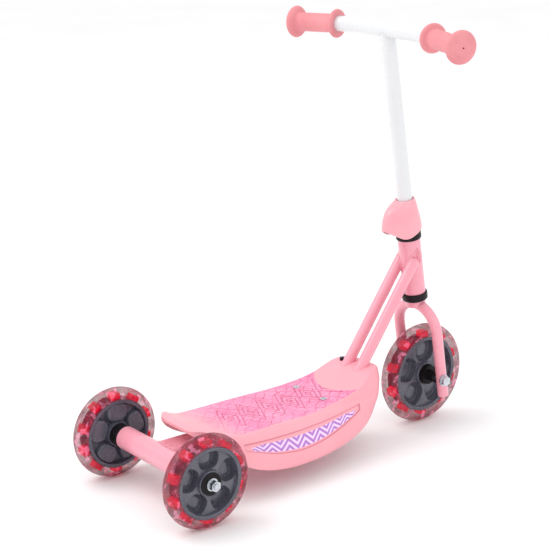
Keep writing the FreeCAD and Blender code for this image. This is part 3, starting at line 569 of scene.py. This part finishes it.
# A cross rib: its place, and half its length.
CROSS_RIBS = ((0.100, 0.055), (0.190, 0.056), (0.225, 0.055), (0.290, 0.044))
FRONT_SCREW = (0.258, 0.030)
REAR_SCREW_X = (0.070, 0.120)
BACKBONE_TOP = 0.075          # the rear bosses rest on it
BOSS_BORE = 0.0026
SCREW_BOSS_R = 0.006


def rib(start, end):
    """A thin upright wall between two places on the plan, its top following the deck's underside."""
    start, end = np.array(start), np.array(end)
    share = np.linspace(0, 1, 24)[:, None]
    line = start + share * (end - start)
    way = unit(end - start)
    off = np.array([-way[1], way[0]]) * RIB_T / 2
    top = through(TOP_LINE, line[:, 0]) - CEILING_DIP
    low = np.full(len(line), RIB_LOW)
    section = [np.column_stack([line + sign * off, height]) for sign, height in
               ((-1, low), (1, low), (1, top), (-1, top))]
    points = np.stack(section, 1)
    points[..., 0] += rear_axle.x
    return shell(points, ends=(True, True))


def rounded(points, radius=0.0005, steps=5):
    """A closed outline with each corner P eased: (1-t)^2 A + 2t(1-t) P + t^2 B, A and B beside it."""
    points = np.array(points, float)
    before, after = np.roll(points, 1, 0) - points, np.roll(points, -1, 0) - points
    radius = np.array(radius).reshape(-1, 1)
    start, end = (points + edge * np.minimum(radius / np.linalg.norm(edge, axis=1, keepdims=True), 0.45)
                  for edge in (before, after))
    t = np.linspace(0, 1, steps)[None, :, None]
    curve = (1 - t) ** 2 * start[:, None] + 2 * t * (1 - t) * points[:, None] + t ** 2 * end[:, None]
    return curve.reshape(-1, 2)


def spin(outline, centre, axis, steps=96, closed=True):
    """A turned piece: each (radius, along) of the outline swept round the axis through centre.

    point = centre + along * axis + radius (cos a * side + sin a * axis x side). An outline that isn't
    closed runs from the axis to the axis and gets a fan at both ends.
    """
    outline, axis = np.array(outline), unit(np.array(axis, float))
    helper = np.array((1.0, 0, 0)) if abs(axis[0]) < 0.9 else np.array((0, 1.0, 0))
    side = unit(helper - helper @ axis * axis)
    angle = np.linspace(0, 2 * pi, steps, endpoint=False)
    ring = np.cos(angle)[:, None] * side + np.sin(angle)[:, None] * np.cross(axis, side)
    points = np.array(centre) + outline[:, 1, None, None] * axis + outline[:, 0, None, None] * ring[None]
    return shell(points, along=closed, ends=(not closed, not closed))


def from_rear(x, y, z):
    """A place whose x is counted from the rear axle."""
    return np.array((rear_axle.x + x, y, z))


def top_at(x):
    """Height of the deck's top at one place on its length."""
    return float(through(TOP_LINE, np.array([x]))[0])


ribs = [rib((LONG_RIB[0], y), (LONG_RIB[1], y)) for y in (-LONG_RIB_Y, LONG_RIB_Y)]
ribs += [rib((x, -half), (x, half)) for x, half in CROSS_RIBS]
bosses = [(FRONT_SCREW[0], side * FRONT_SCREW[1], RIB_LOW) for side in (-1, 1)]
bosses += [(x, 0.0, BACKBONE_TOP) for x in REAR_SCREW_X]
for x, y, low in bosses:
    top = top_at(x) - CEILING_DIP
    outline = [(BOSS_BORE, low), (SCREW_BOSS_R, low), (SCREW_BOSS_R, top), (BOSS_BORE, top)]
    ribs.append(spin(rounded(outline, 0.0004), from_rear(x, y, 0), (0, 0, 1), 40))
inside_finish = mottled("deck_inside_polypropylene", (PLASTIC, PLASTIC_SHADE), (12, 0.0, 1.0),
                        (60, 0.42, 0.56), ((800, 0.00005, 3.0),), Specular_IOR_Level=0.4)
piece("deck_ribs", ribs, inside_finish, "frame")

# ---------------------------------------------------------------- screws, nuts and axles
# Zinc-plated steel fasteners and rolled axles, pushed through and tightened by hand tools. The plate is
# bright with a faint blue cast, finely scratched along the way it was turned.


def zinc_plate(name, colour, shade):
    """Plated steel: colour over darker patches, uneven gloss and fine scratches."""
    return mottled(name, (colour, shade), (90, 0.0, 0.7), (300, 0.20, 0.42), ((1400, 0.00004, 3.0),),
                   Metallic=1.0)


zinc = zinc_plate("zinc_plate", tint(214, 217, 222), tint(176, 182, 192))
paint_nodes(zinc, "rear_axle_rod", "rear_axle_washers", "rear_axle_nuts", "deck_nuts", "deck_screws_rear",
            "front_axle_bolt", "front_axle_nut", "front_axle_washers", "stem_clamp", "clamp_bolt",
            "clamp_nut", "steerer_tube")


def cross_head(centre, radius, rise, turn):
    """A domed screw head, z = rise (1 - 0.55 (r/R)^3), less a cross-shaped recess in the middle."""
    share = np.concatenate([np.linspace(0.02, 1, 44), [1.0]])[:, None]
    angle = np.linspace(0, 2 * pi, 96, endpoint=False)[None]
    x, y = share * radius * np.cos(angle), share * radius * np.sin(angle)
    arm = np.minimum(np.abs(x), np.abs(y))
    recess = ease(ARM_HALF - arm, -0.00012, 0.00012) * ease(0.62 * radius - np.hypot(x, y), -0.0001, 0.0002)
    z = rise * (1 - 0.55 * share ** 3) - ARM_DEPTH * recess
    z[-1] = -HEAD_SUNK
    c, s = cos(turn), sin(turn)
    points = np.stack(np.broadcast_arrays(c * x - s * y, s * x + c * y, z), -1) + centre
    return shell(points, ends=(True, True))


ARM_HALF = 0.00075
ARM_DEPTH = 0.0011
HEAD_SUNK = 0.0012
SCREW_HEAD_R = 0.005
SCREW_HEAD_RISE = 0.0018
# radius, height
SHANK = rounded([(0.0001, 0.065), (0.0025, 0.065), (0.0025, 0.089), (0.0001, 0.089)], 0.00005, 3)
screws = []
for side, turn in ((-1, 0.3), (1, 0.9)):
    x, y = FRONT_SCREW[0], side * FRONT_SCREW[1]
    screws.append(cross_head(from_rear(x, y, top_at(x)), SCREW_HEAD_R, SCREW_HEAD_RISE, turn))
    screws.append(spin(SHANK, from_rear(x, y, 0), (0, 0, 1), 32))
piece("deck_screws", screws, zinc, "frame", ["deck_screws_front"])

# The ends of both axles stand out of their nuts with a few turns of thread on show.
AXLE_R = 0.004
PITCH = 0.00125


def thread(centre, outward, length):
    """A threaded end: a zigzag outline turned about the axle, with a chamfered tip."""
    turns = np.arange(int(length / PITCH * 2) + 1)
    along = turns * PITCH / 2
    out = AXLE_R + np.where(turns % 2, 0.00022, 0.00002)
    rows = [(0.0002, -0.0004), (AXLE_R * 0.9, -0.0004), *zip(out, along)]
    rows += [(AXLE_R * 0.82, along[-1] + 0.0007), (0.0002, along[-1] + 0.0008)]
    return spin(rows, centre, outward, 48, closed=False)


nut_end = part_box("rear_axle_nuts")[1].y
threads = [thread((rear_axle.x, side * nut_end, rear_axle.z), (0, side, 0), 0.0020) for side in (-1, 1)]
piece("rear_axle_threads", threads, zinc, "frame")
nut_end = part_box("front_axle_nut")[1].y
front_thread = thread((front_axle.x, nut_end, front_axle.z), (0, 1, 0), 0.0016)
piece("front_axle_thread", [front_thread], zinc, "steering")

black_steel = zinc_plate("black_oxide_bolt", tint(52, 50, 54), tint(34, 33, 36))
paint_nodes(black_steel, "nose_bolt")

# ---------------------------------------------------------------- black nylon bushes
# Turned and moulded nylon between the painted tubes and the wheels: dull black with fine tool marks.


def nylon(name, colour, shade):
    """Dull moulded nylon: slightly mottled, fine grained."""
    return mottled(name, (colour, shade), (60, 0.0, 1.0), (200, 0.34, 0.50), ((1100, 0.00005, 3.0),),
                   Specular_IOR_Level=0.2)


black = nylon("black_nylon", tint(27, 23, 26), tint(18, 15, 18))
paint_nodes(black, "axle_end_bushes", "front_axle_bushes", "crown_washer")

# ---------------------------------------------------------------- wheel hubs
# Injection moulded in dark grey nylon: a thick rim, a boss for the bearings and a dished web with five
# deep scoops on the open side, which stand out as five smooth lumps on the other.
SPOKES = 5
HUB_HALF = 0.0115
BOSS_R = 0.017
WEB_OUT = 0.0065
WEB_IN = -0.0025
RIM_T = 0.005
HUB_BORE = 0.0112
EDGE = 0.0006                 # chamfer of the rim's and the boss's edges
SCOOP_DEPTH = 0.0098
SCOOP_CROWN = 0.0022          # rise in the middle of a scoop's floor
LUMP_RISE = 0.0076
LUMP_WALL = 0.0022            # a lump reaches this far past its scoop all round
# Name, the hub's radius, the tyre's radius, and the side on which the scoops open.
WHEELS = (("rear_left", 0.0485, 0.0635, 1), ("rear_right", 0.0485, 0.0635, -1), ("front", 0.057, 0.075, -1))


def scoops(radius, angle, hub_r, grow):
    """1 in the middle of a scoop, 0 outside: 1 - |x/a|^3 - |z/b|^3, x along the rim, z outwards."""
    middle = (BOSS_R + hub_r - RIM_T) / 2
    half_z = (hub_r - RIM_T - BOSS_R) / 2 - 0.0010 + grow
    half_x = (middle * sin(pi / SPOKES) - 0.0027 + grow) * (0.72 + 0.28 * radius / middle)
    turn = (angle + pi / SPOKES) % (2 * pi / SPOKES) - pi / SPOKES
    x = radius * np.sin(turn)
    z = radius * np.cos(turn) - middle
    return np.clip(1 - np.abs(x / half_x) ** 3 - np.abs(z / half_z) ** 3, 0, 1)


def hub_shell(centre, hub_r, open_side):
    """Rows of rings from the bore over the open face, round the rim and back over the other face."""
    rim = hub_r - RIM_T
    tyre_seat = hub_r - EDGE
    angle = np.linspace(0, 2 * pi, 360, endpoint=False)[None]
    front = np.array([
        (HUB_BORE, HUB_HALF), (BOSS_R - EDGE, HUB_HALF), (BOSS_R + 0.0002, HUB_HALF - EDGE),
        (BOSS_R + 0.0014, WEB_OUT), (rim - 0.0012, WEB_OUT), (rim - 0.0002, HUB_HALF - EDGE),
        (rim + 0.0005, HUB_HALF), (rim + 0.0018, HUB_HALF), (rim + 0.0021, HUB_HALF - 0.0004),
        (rim + 0.0026, HUB_HALF - 0.0004), (rim + 0.0029, HUB_HALF), (tyre_seat, HUB_HALF),
    ])
    back = np.array([(HUB_BORE, HUB_HALF), (BOSS_R, HUB_HALF), (BOSS_R + 0.0018, -WEB_IN),
                     (rim - 0.0018, -WEB_IN), (rim, HUB_HALF), (tyre_seat, HUB_HALF)])
    radius = np.unique(np.concatenate([front[:, 0], np.linspace(BOSS_R, rim, 90)]))[:, None]
    depth = scoops(radius, angle, hub_r, 0.0)
    hollow = SCOOP_DEPTH * ease(depth, 0.0, 0.45) - SCOOP_CROWN * ease(depth, 0.45, 1.0)
    open_face = np.interp(radius, front[:, 0], front[:, 1]) - hollow
    lump = LUMP_RISE * ease(scoops(radius, angle, hub_r, LUMP_WALL), 0.0, 0.6)
    back_face = -np.maximum(np.interp(radius, back[:, 0], back[:, 1]), -WEB_IN + lump)
    columns = np.ones_like(angle)
    side = np.array([(hub_r, HUB_HALF - EDGE), (hub_r, 0.0), (hub_r, -HUB_HALF + EDGE)])
    radii = np.vstack([radius * columns, side[:, :1] * columns, radius[::-1] * columns])
    heights = np.vstack([open_face * columns, side[:, 1:] * columns, back_face[::-1] * columns])
    points = np.stack([centre.x + radii * np.sin(angle) * open_side, centre.y + open_side * heights,
                       centre.z + radii * np.cos(angle)], -1)
    return shell(points, along=True)


hub_finish = mottled("hub_grey_nylon", (tint(88, 88, 101), tint(74, 73, 86)), (45, 0.0, 1.0),
                     (160, 0.22, 0.36), ((900, 0.00004, 3.0),), Coat_Weight=0.35, Coat_Roughness=0.12,
                     Specular_IOR_Level=0.55)
places = {word: Vector(joints[word + "_wheel_spin"]["pos_m"]) for word, *_sizes in WHEELS}
for word, hub_r, _tyre_r, open_side in WHEELS:
    piece(word + "_hub_moulding", [hub_shell(places[word], hub_r, open_side)], hub_finish, word + "_wheel",
          [word + "_hub"], sharp=30.0)

# ---------------------------------------------------------------- bearings, caps, coils and magnets
# A pressed steel bearing and a snap-in black cap at each face of a hub; between them the copper
# winding of the generator that lights the blocks, round a ferrite magnet on the axle.
copper = zinc_plate("varnished_copper", tint(196, 120, 74), tint(150, 84, 52))
ferrite = nylon("sintered_ferrite", tint(92, 92, 96), tint(70, 70, 74))
CAP = rounded([(0.0047, 0.0), (0.0155, 0.0), (0.0155, 0.0015), (0.0118, 0.0015), (0.0114, 0.0010),
               (0.0103, 0.0010), (0.0099, 0.0015), (0.0047, 0.0015)], 0.00035, 4)
for word, *_sizes in WHEELS:
    paint_nodes(zinc, word + "_bearings")
    paint_nodes(copper, word + "_light_coil")
    paint_nodes(ferrite, word + "_magnet_core")
    caps = [spin(CAP, places[word] + Vector((0, side * HUB_HALF, 0)), (0, side, 0)) for side in (-1, 1)]
    piece(word + "_caps", caps, black, word + "_wheel", [word + "_bearing_caps"])

# ---------------------------------------------------------------- light blocks and clear tyres
# Cast in clear polyurethane, tinted crimson, over ten red light blocks that sit on the hub. The tread
# has fine rings left by the mould. The blocks carry a painted glow, so that they show bright through it.
light_finish = mottled("red_light_block", (tint(232, 8, 40), tint(176, 2, 36)), (120, 0.0, 1.0),
                       (220, 0.12, 0.30), ((500, 0.0002, 3.0),), Coat_Weight=0.8, Coat_Roughness=0.05,
                       Emission_Strength=1.1)
# The blocks' red is fed to their emission too: a painted glow that keeps them bright behind the tyre.
painted_red_glow = light_finish.shader.inputs["Base Color"].links[0].from_socket
light_finish.feed(light_finish.shader.inputs["Emission Color"], painted_red_glow)
for word, *_sizes in WHEELS:
    paint_nodes(light_finish, word + "_light_blocks")

TYRE_HALF = 0.0125
SHOULDER = 0.008
SEAT_GAP = 0.00012
RING_HEIGHT = 0.00045


def tyre_outline(hub_r, tyre_r):
    """The tyre's section: a flat seat and flanks, and a tread on a circle with nine fine rings in it.

    The circle's radius is (w^2 + s^2) / 2s for half width w and rise s. The rings are a ripple of
    (1 - cos 18 pi t) / 2, with t running from 0 to 1 across the tread, and die out at its edges.
    """
    circle_r = (TYRE_HALF ** 2 + SHOULDER ** 2) / (2 * SHOULDER)
    widest = np.arcsin(TYRE_HALF / circle_r)
    t = np.linspace(0, 1, 150)
    turn = (2 * t - 1) * widest
    ripple = RING_HEIGHT * (1 - np.cos(18 * pi * t)) / 2 * np.sin(pi * t) ** 0.3
    out = tyre_r - circle_r + (circle_r - ripple) * np.cos(turn)
    across = (circle_r - ripple) * np.sin(turn)
    seat = hub_r + SEAT_GAP
    flank = np.array([(seat, TYRE_HALF - 0.0012), (seat + 0.0008, TYRE_HALF - 0.0003),
                      (seat + 0.003, TYRE_HALF)])
    return np.vstack([flank * (1, -1), np.column_stack([out, across]), flank[::-1]])


tyre_finish = Finish("clear_polyurethane", Coat_Weight=0.2, Coat_Roughness=0.04, Specular_IOR_Level=0.4)
# The tyre's own crimson tint, drifting by noise into dark crimson patches of painted refraction.
tint_and_painted_refraction = tyre_finish.mix(tyre_finish.noise(75, 0.0, 1.0), tint(168, 8, 58), tint(78, 0, 28))
# Pale pink patches laid over it by noise are painted highlights.
painted_glint = tyre_finish.ramp(tyre_finish.noise(110, 0.0, 1.0, 1.0), 0.66, 0.92, 0.0, 0.8)
tyre_finish.feed(tyre_finish.shader.inputs["Base Color"], tyre_finish.mix(painted_glint, tint_and_painted_refraction, tint(248, 140, 178)))
facing = tyre_finish.add("LayerWeight", {"Blend": 0.35}).outputs["Facing"]
tyre_finish.feed(tyre_finish.shader.inputs["Alpha"], tyre_finish.math(
    "ADD", tyre_finish.ramp(facing, 0.1, 0.9, 0.56, 0.88), tyre_finish.noise(70, -0.2, 0.12)))
tyre_finish.feed(tyre_finish.shader.inputs["Roughness"], tyre_finish.noise(120, 0.08, 0.20))
tyre_finish.bump(tyre_finish.noise(90, 0.0, 1.0), 0.0004)
for word, hub_r, tyre_r, _open_side in WHEELS:
    piece(word + "_tyre_casting", [spin(tyre_outline(hub_r, tyre_r), places[word], (0, 1, 0), 200)],
          tyre_finish, word + "_wheel", [word + "_tyre"], sharp=50.0)

# ---------------------------------------------------------------- headset cups
# Two black nylon bushes pressed into the ends of the head tube, their collars rounded.
CUP_BORE = 0.01275
CUP_EASES = (0.0003, 0.0016, 0.0016, 0.0003)
# Name, both ends of the collar along the steering axis, and its radius.
CUPS = (("lower_cup", 0.1193, 0.1304, 0.0188), ("upper_cup", 0.2146, 0.2268, 0.0184))
for word, low, high, radius in CUPS:
    outline = rounded([(CUP_BORE, low), (radius, low), (radius, high), (CUP_BORE, high)], CUP_EASES)
    cup = spin(outline, steer_base, steer_axis, 128)
    piece(word + "_bush", [cup], black, "frame", [word])

# ---------------------------------------------------------------- headset cover
# A satin pink moulding that hides the stem clamp: round in front, drawn out to the rear, gripping the
# stem at its neck and open below, where its rim slopes up behind. A fine seam runs round its middle.
COVER = np.array([
    # height, reach forward, reach back, half width
    (0.2180, 0.0206, 0.0470, 0.0206),
    (0.2280, 0.0205, 0.0470, 0.0205),
    (0.2380, 0.0202, 0.0466, 0.0202),
    (0.2470, 0.0193, 0.0452, 0.0194),
    (0.2570, 0.0176, 0.0410, 0.0182),
    (0.2645, 0.0164, 0.0356, 0.0170),
    (0.2695, 0.0154, 0.0276, 0.0158),
    (0.2725, 0.0149, 0.0190, 0.0150),
    (0.2745, 0.0144, 0.0146, 0.0144),
])
COVER_RIM = np.array([
    # forward, height
    (-0.0600, 0.2500), (-0.0350, 0.2312), (-0.0250, 0.2243), (-0.0150, 0.2222),
    (-0.0050, 0.2242), (0.0080, 0.2286), (0.0190, 0.2321), (0.0300, 0.2355),
])
COVER_WALL = 0.0016
COVER_TOP = 0.2745
CAVITY_TOP = 0.2679
SEAM = 0.2490
SEAM_HALF = 0.0005
# The neck's rounded lip, and its bore on the stem: radius, height.
NECK = ((0.0142, 0.2750), (0.0137, 0.27515), (0.0128, 0.2751), (0.0123, 0.2746), (0.0119, 0.2725),
        (0.0112, 0.2720), (0.0112, 0.2685))
COVER_TURN = np.linspace(0, 2 * pi, 160, endpoint=False)


def cover_row(share, inset, top):
    """One ring: x = reach cos a, y = half sin a, at a share of the way from the rim up to top."""
    c, s = np.cos(COVER_TURN), np.sin(COVER_TURN)
    height = np.full_like(COVER_TURN, top)
    for _ in range(30):
        ahead, back, half = (through(COVER[:, [0, k]], height + inset) for k in (1, 2, 3))
        x = (np.where(c > 0, ahead, back) - inset) * c
        rim = through(COVER_RIM, x)
        height = 0.5 * height + 0.5 * (rim + share * (top - rim))
    groove = 1 - 0.014 * np.exp(-((height - SEAM) / SEAM_HALF) ** 2) * (inset == 0)
    return np.stack([x * groove, (half - inset) * s * groove, height], -1)


def neck_row(radius, height):
    """One round ring of the neck: x = radius cos a, y = radius sin a."""
    level = np.full_like(COVER_TURN, height)
    return np.stack([radius * np.cos(COVER_TURN), radius * np.sin(COVER_TURN), level], -1)


def steered(points):
    """Places points drawn about the steering axis: forward, left and up along it."""
    return np.array(steer_base) + points @ np.array((steer_front, (0, 1, 0), steer_axis))


cover_rows = [cover_row(share, 0.0, COVER_TOP) for share in np.linspace(0, 1, 90)]
cover_rows += [neck_row(*level) for level in NECK]
cover_rows += [cover_row(share, COVER_WALL, CAVITY_TOP) for share in np.linspace(1, 0, 30)]
cover_finish = mottled("cover_polypropylene", (tint(245, 171, 181), tint(237, 155, 167)), (22, 0.0, 0.7),
                       (90, 0.30, 0.42), ((1000, 0.00004, 3.0),), Specular_IOR_Level=0.5, Coat_Weight=0.25,
                       Coat_Roughness=0.18)
piece("headset_cover_moulding", [shell(steered(np.array(cover_rows)), along=True)], cover_finish, "steering",
      ["headset_cover"], sharp=50.0)

# ---------------------------------------------------------------- stem and handlebar
# 22 mm steel tube under gloss white powder. The handlebar is bent back at both ends and welded across
# the coped top of the stem, so the bead dips down on both sides of it.
STEM_R = 0.011
BAR_HEIGHT = 0.5226
white_coat = powder_coat("white_powder_coat", tint(224, 226, 228), tint(214, 217, 220), 0.00001)
paint_nodes(white_coat, "stem", "handlebar")
turn = np.linspace(0, 2 * pi, 240, endpoint=False)
c, s = np.cos(turn), np.sin(turn)
saddle = np.stack([STEM_R * c, STEM_R * s, BAR_HEIGHT - STEM_R * np.abs(s)], -1)
piece("stem_weld_bead", [bead(steered(saddle), 0.0014)], white_coat, "steering")

# ---------------------------------------------------------------- hand grips
# Soft pink rubber pushed over each end of the handlebar: a small flange inside, a larger mushroom-shaped
# one outside, and a domed end with a vent hole in a ring of moulded pips.
SWEEP = radians(14.0)
BEND_R = 0.150
STRAIGHT = 0.0525
GRIP_LINES = np.array([
    # radius, along the grip, rounding of the corner
    (0.01110, 0.0060, 0.0003), (0.01900, 0.0060, 0.0026), (0.02060, 0.0090, 0.0030),
    (0.01900, 0.0120, 0.0026), (0.01330, 0.0140, 0.0014), (0.01330, 0.0730, 0.0024),
    (0.02000, 0.0755, 0.0024), (0.02330, 0.0800, 0.0040), (0.02000, 0.0851, 0.0030),
    (0.01150, 0.0865, 0.0060), (0.00130, 0.0871, 0.0004), (0.00110, 0.0848, 0.0003),
    (0.01110, 0.0840, 0.0003),
])
# A pip: radius, height.
PIP = ((0.0001, 0.0006), (0.00055, 0.00045), (0.0008, 0.0), (0.0008, -0.0004), (0.0001, -0.0004))
PIPS = 16
PIP_RING_R = 0.0128
PIP_RING_ALONG = 0.0862
grip_finish = mottled("grip_rubber", (tint(230, 148, 153), tint(220, 134, 140)), (30, 0.0, 1.0),
                      (140, 0.46, 0.62), ((1500, 0.00008, 3.0), (240, 0.00006, 3.0)),
                      Specular_IOR_Level=0.35)
bend_out = STRAIGHT + BEND_R * sin(SWEEP)
for side, word in ((1, "left"), (-1, "right")):
    bend_end = steered(np.array([BEND_R * (cos(SWEEP) - 1), side * bend_out, BAR_HEIGHT]))
    way = -sin(SWEEP) * np.array(steer_front) + side * cos(SWEEP) * np.array((0, 1, 0))
    shells = [spin(rounded(GRIP_LINES[:, :2], GRIP_LINES[:, 2], 8), bend_end, way, 128)]
    up = np.array(steer_axis)
    across = np.cross(way, up)
    for turn in np.linspace(0, 2 * pi, PIPS, endpoint=False):
        place = bend_end + way * PIP_RING_ALONG + PIP_RING_R * (cos(turn) * up + sin(turn) * across)
        shells.append(spin(PIP, place, way, 12, closed=False))
    piece("grip_%s_rubber" % word, shells, grip_finish, "steering", ["grip_" + word],
          sharp=60.0)

# ---------------------------------------------------------------- studio
# A white paper floor that runs out of sight under an even white room, with a large soft box high on
# the left behind the camera and a smaller one on the right, as for a catalogue picture.
FLOOR_HALF = 12.0
CAMERA_PLACE = Vector((-1.3113, -1.5959, 0.8719))
CAMERA_TURN = 0.901
CAMERA_DOWN = 0.285
CAMERA_ROLL = 0.002
CAMERA_LENS = 102.7

paper = mottled("paper_floor", (tint(254, 254, 254), tint(251, 251, 252)), (3, 0.0, 1.0),
                (30, 0.7, 0.8), (), Specular_IOR_Level=0.2)
corners = np.array([(-1, -1), (1, -1), (1, 1), (-1, 1)]) * FLOOR_HALF
mesh = bpy.data.meshes.new("floor")
mesh.from_pydata([(x, y, 0.0) for x, y in corners], [], [(0, 1, 2, 3)])
mesh.materials.append(paper.material)
floor = bpy.data.objects.new("floor", mesh)
bpy.context.scene.collection.objects.link(floor)

world = bpy.data.worlds.new("white_room")
bpy.context.scene.world = world
world.use_nodes = True
background = world.node_tree.nodes["Background"]
background.inputs["Color"].default_value = (1, 1, 1, 1)
background.inputs["Strength"].default_value = 1.0


def soft_box(name, place, target, width, height, power):
    """A rectangular lamp at place that faces target."""
    lamp = bpy.data.lights.new(name, "AREA")
    lamp.shape, lamp.size, lamp.size_y, lamp.energy = "RECTANGLE", width, height, power
    made = bpy.data.objects.new(name, lamp)
    made.location = place
    made.rotation_euler = (Vector(target) - Vector(place)).to_track_quat("-Z", "Y").to_euler()
    bpy.context.scene.collection.objects.link(made)


soft_box("soft_box_high", (-1.2, 0.9, 2.4), (0, 0, 0.2), 1.8, 1.8, 26)
soft_box("soft_box_right", (0.9, -2.2, 1.5), (0, 0, 0.2), 1.0, 1.4, 7)

look = Vector((cos(CAMERA_TURN) * cos(CAMERA_DOWN), sin(CAMERA_TURN) * cos(CAMERA_DOWN), -sin(CAMERA_DOWN)))
lens = bpy.data.cameras.new("camera")
lens.lens, lens.sensor_width, lens.clip_start, lens.clip_end = CAMERA_LENS, 36.0, 0.05, 100.0
camera = bpy.data.objects.new("camera", lens)
turn_to = look.to_track_quat("-Z", "Y") @ Quaternion((0, 0, 1), CAMERA_ROLL)
camera.location, camera.rotation_euler = CAMERA_PLACE, turn_to.to_euler()
bpy.context.scene.collection.objects.link(camera)
bpy.context.scene.camera = camera
bpy.context.scene.view_settings.view_transform = "Standard"
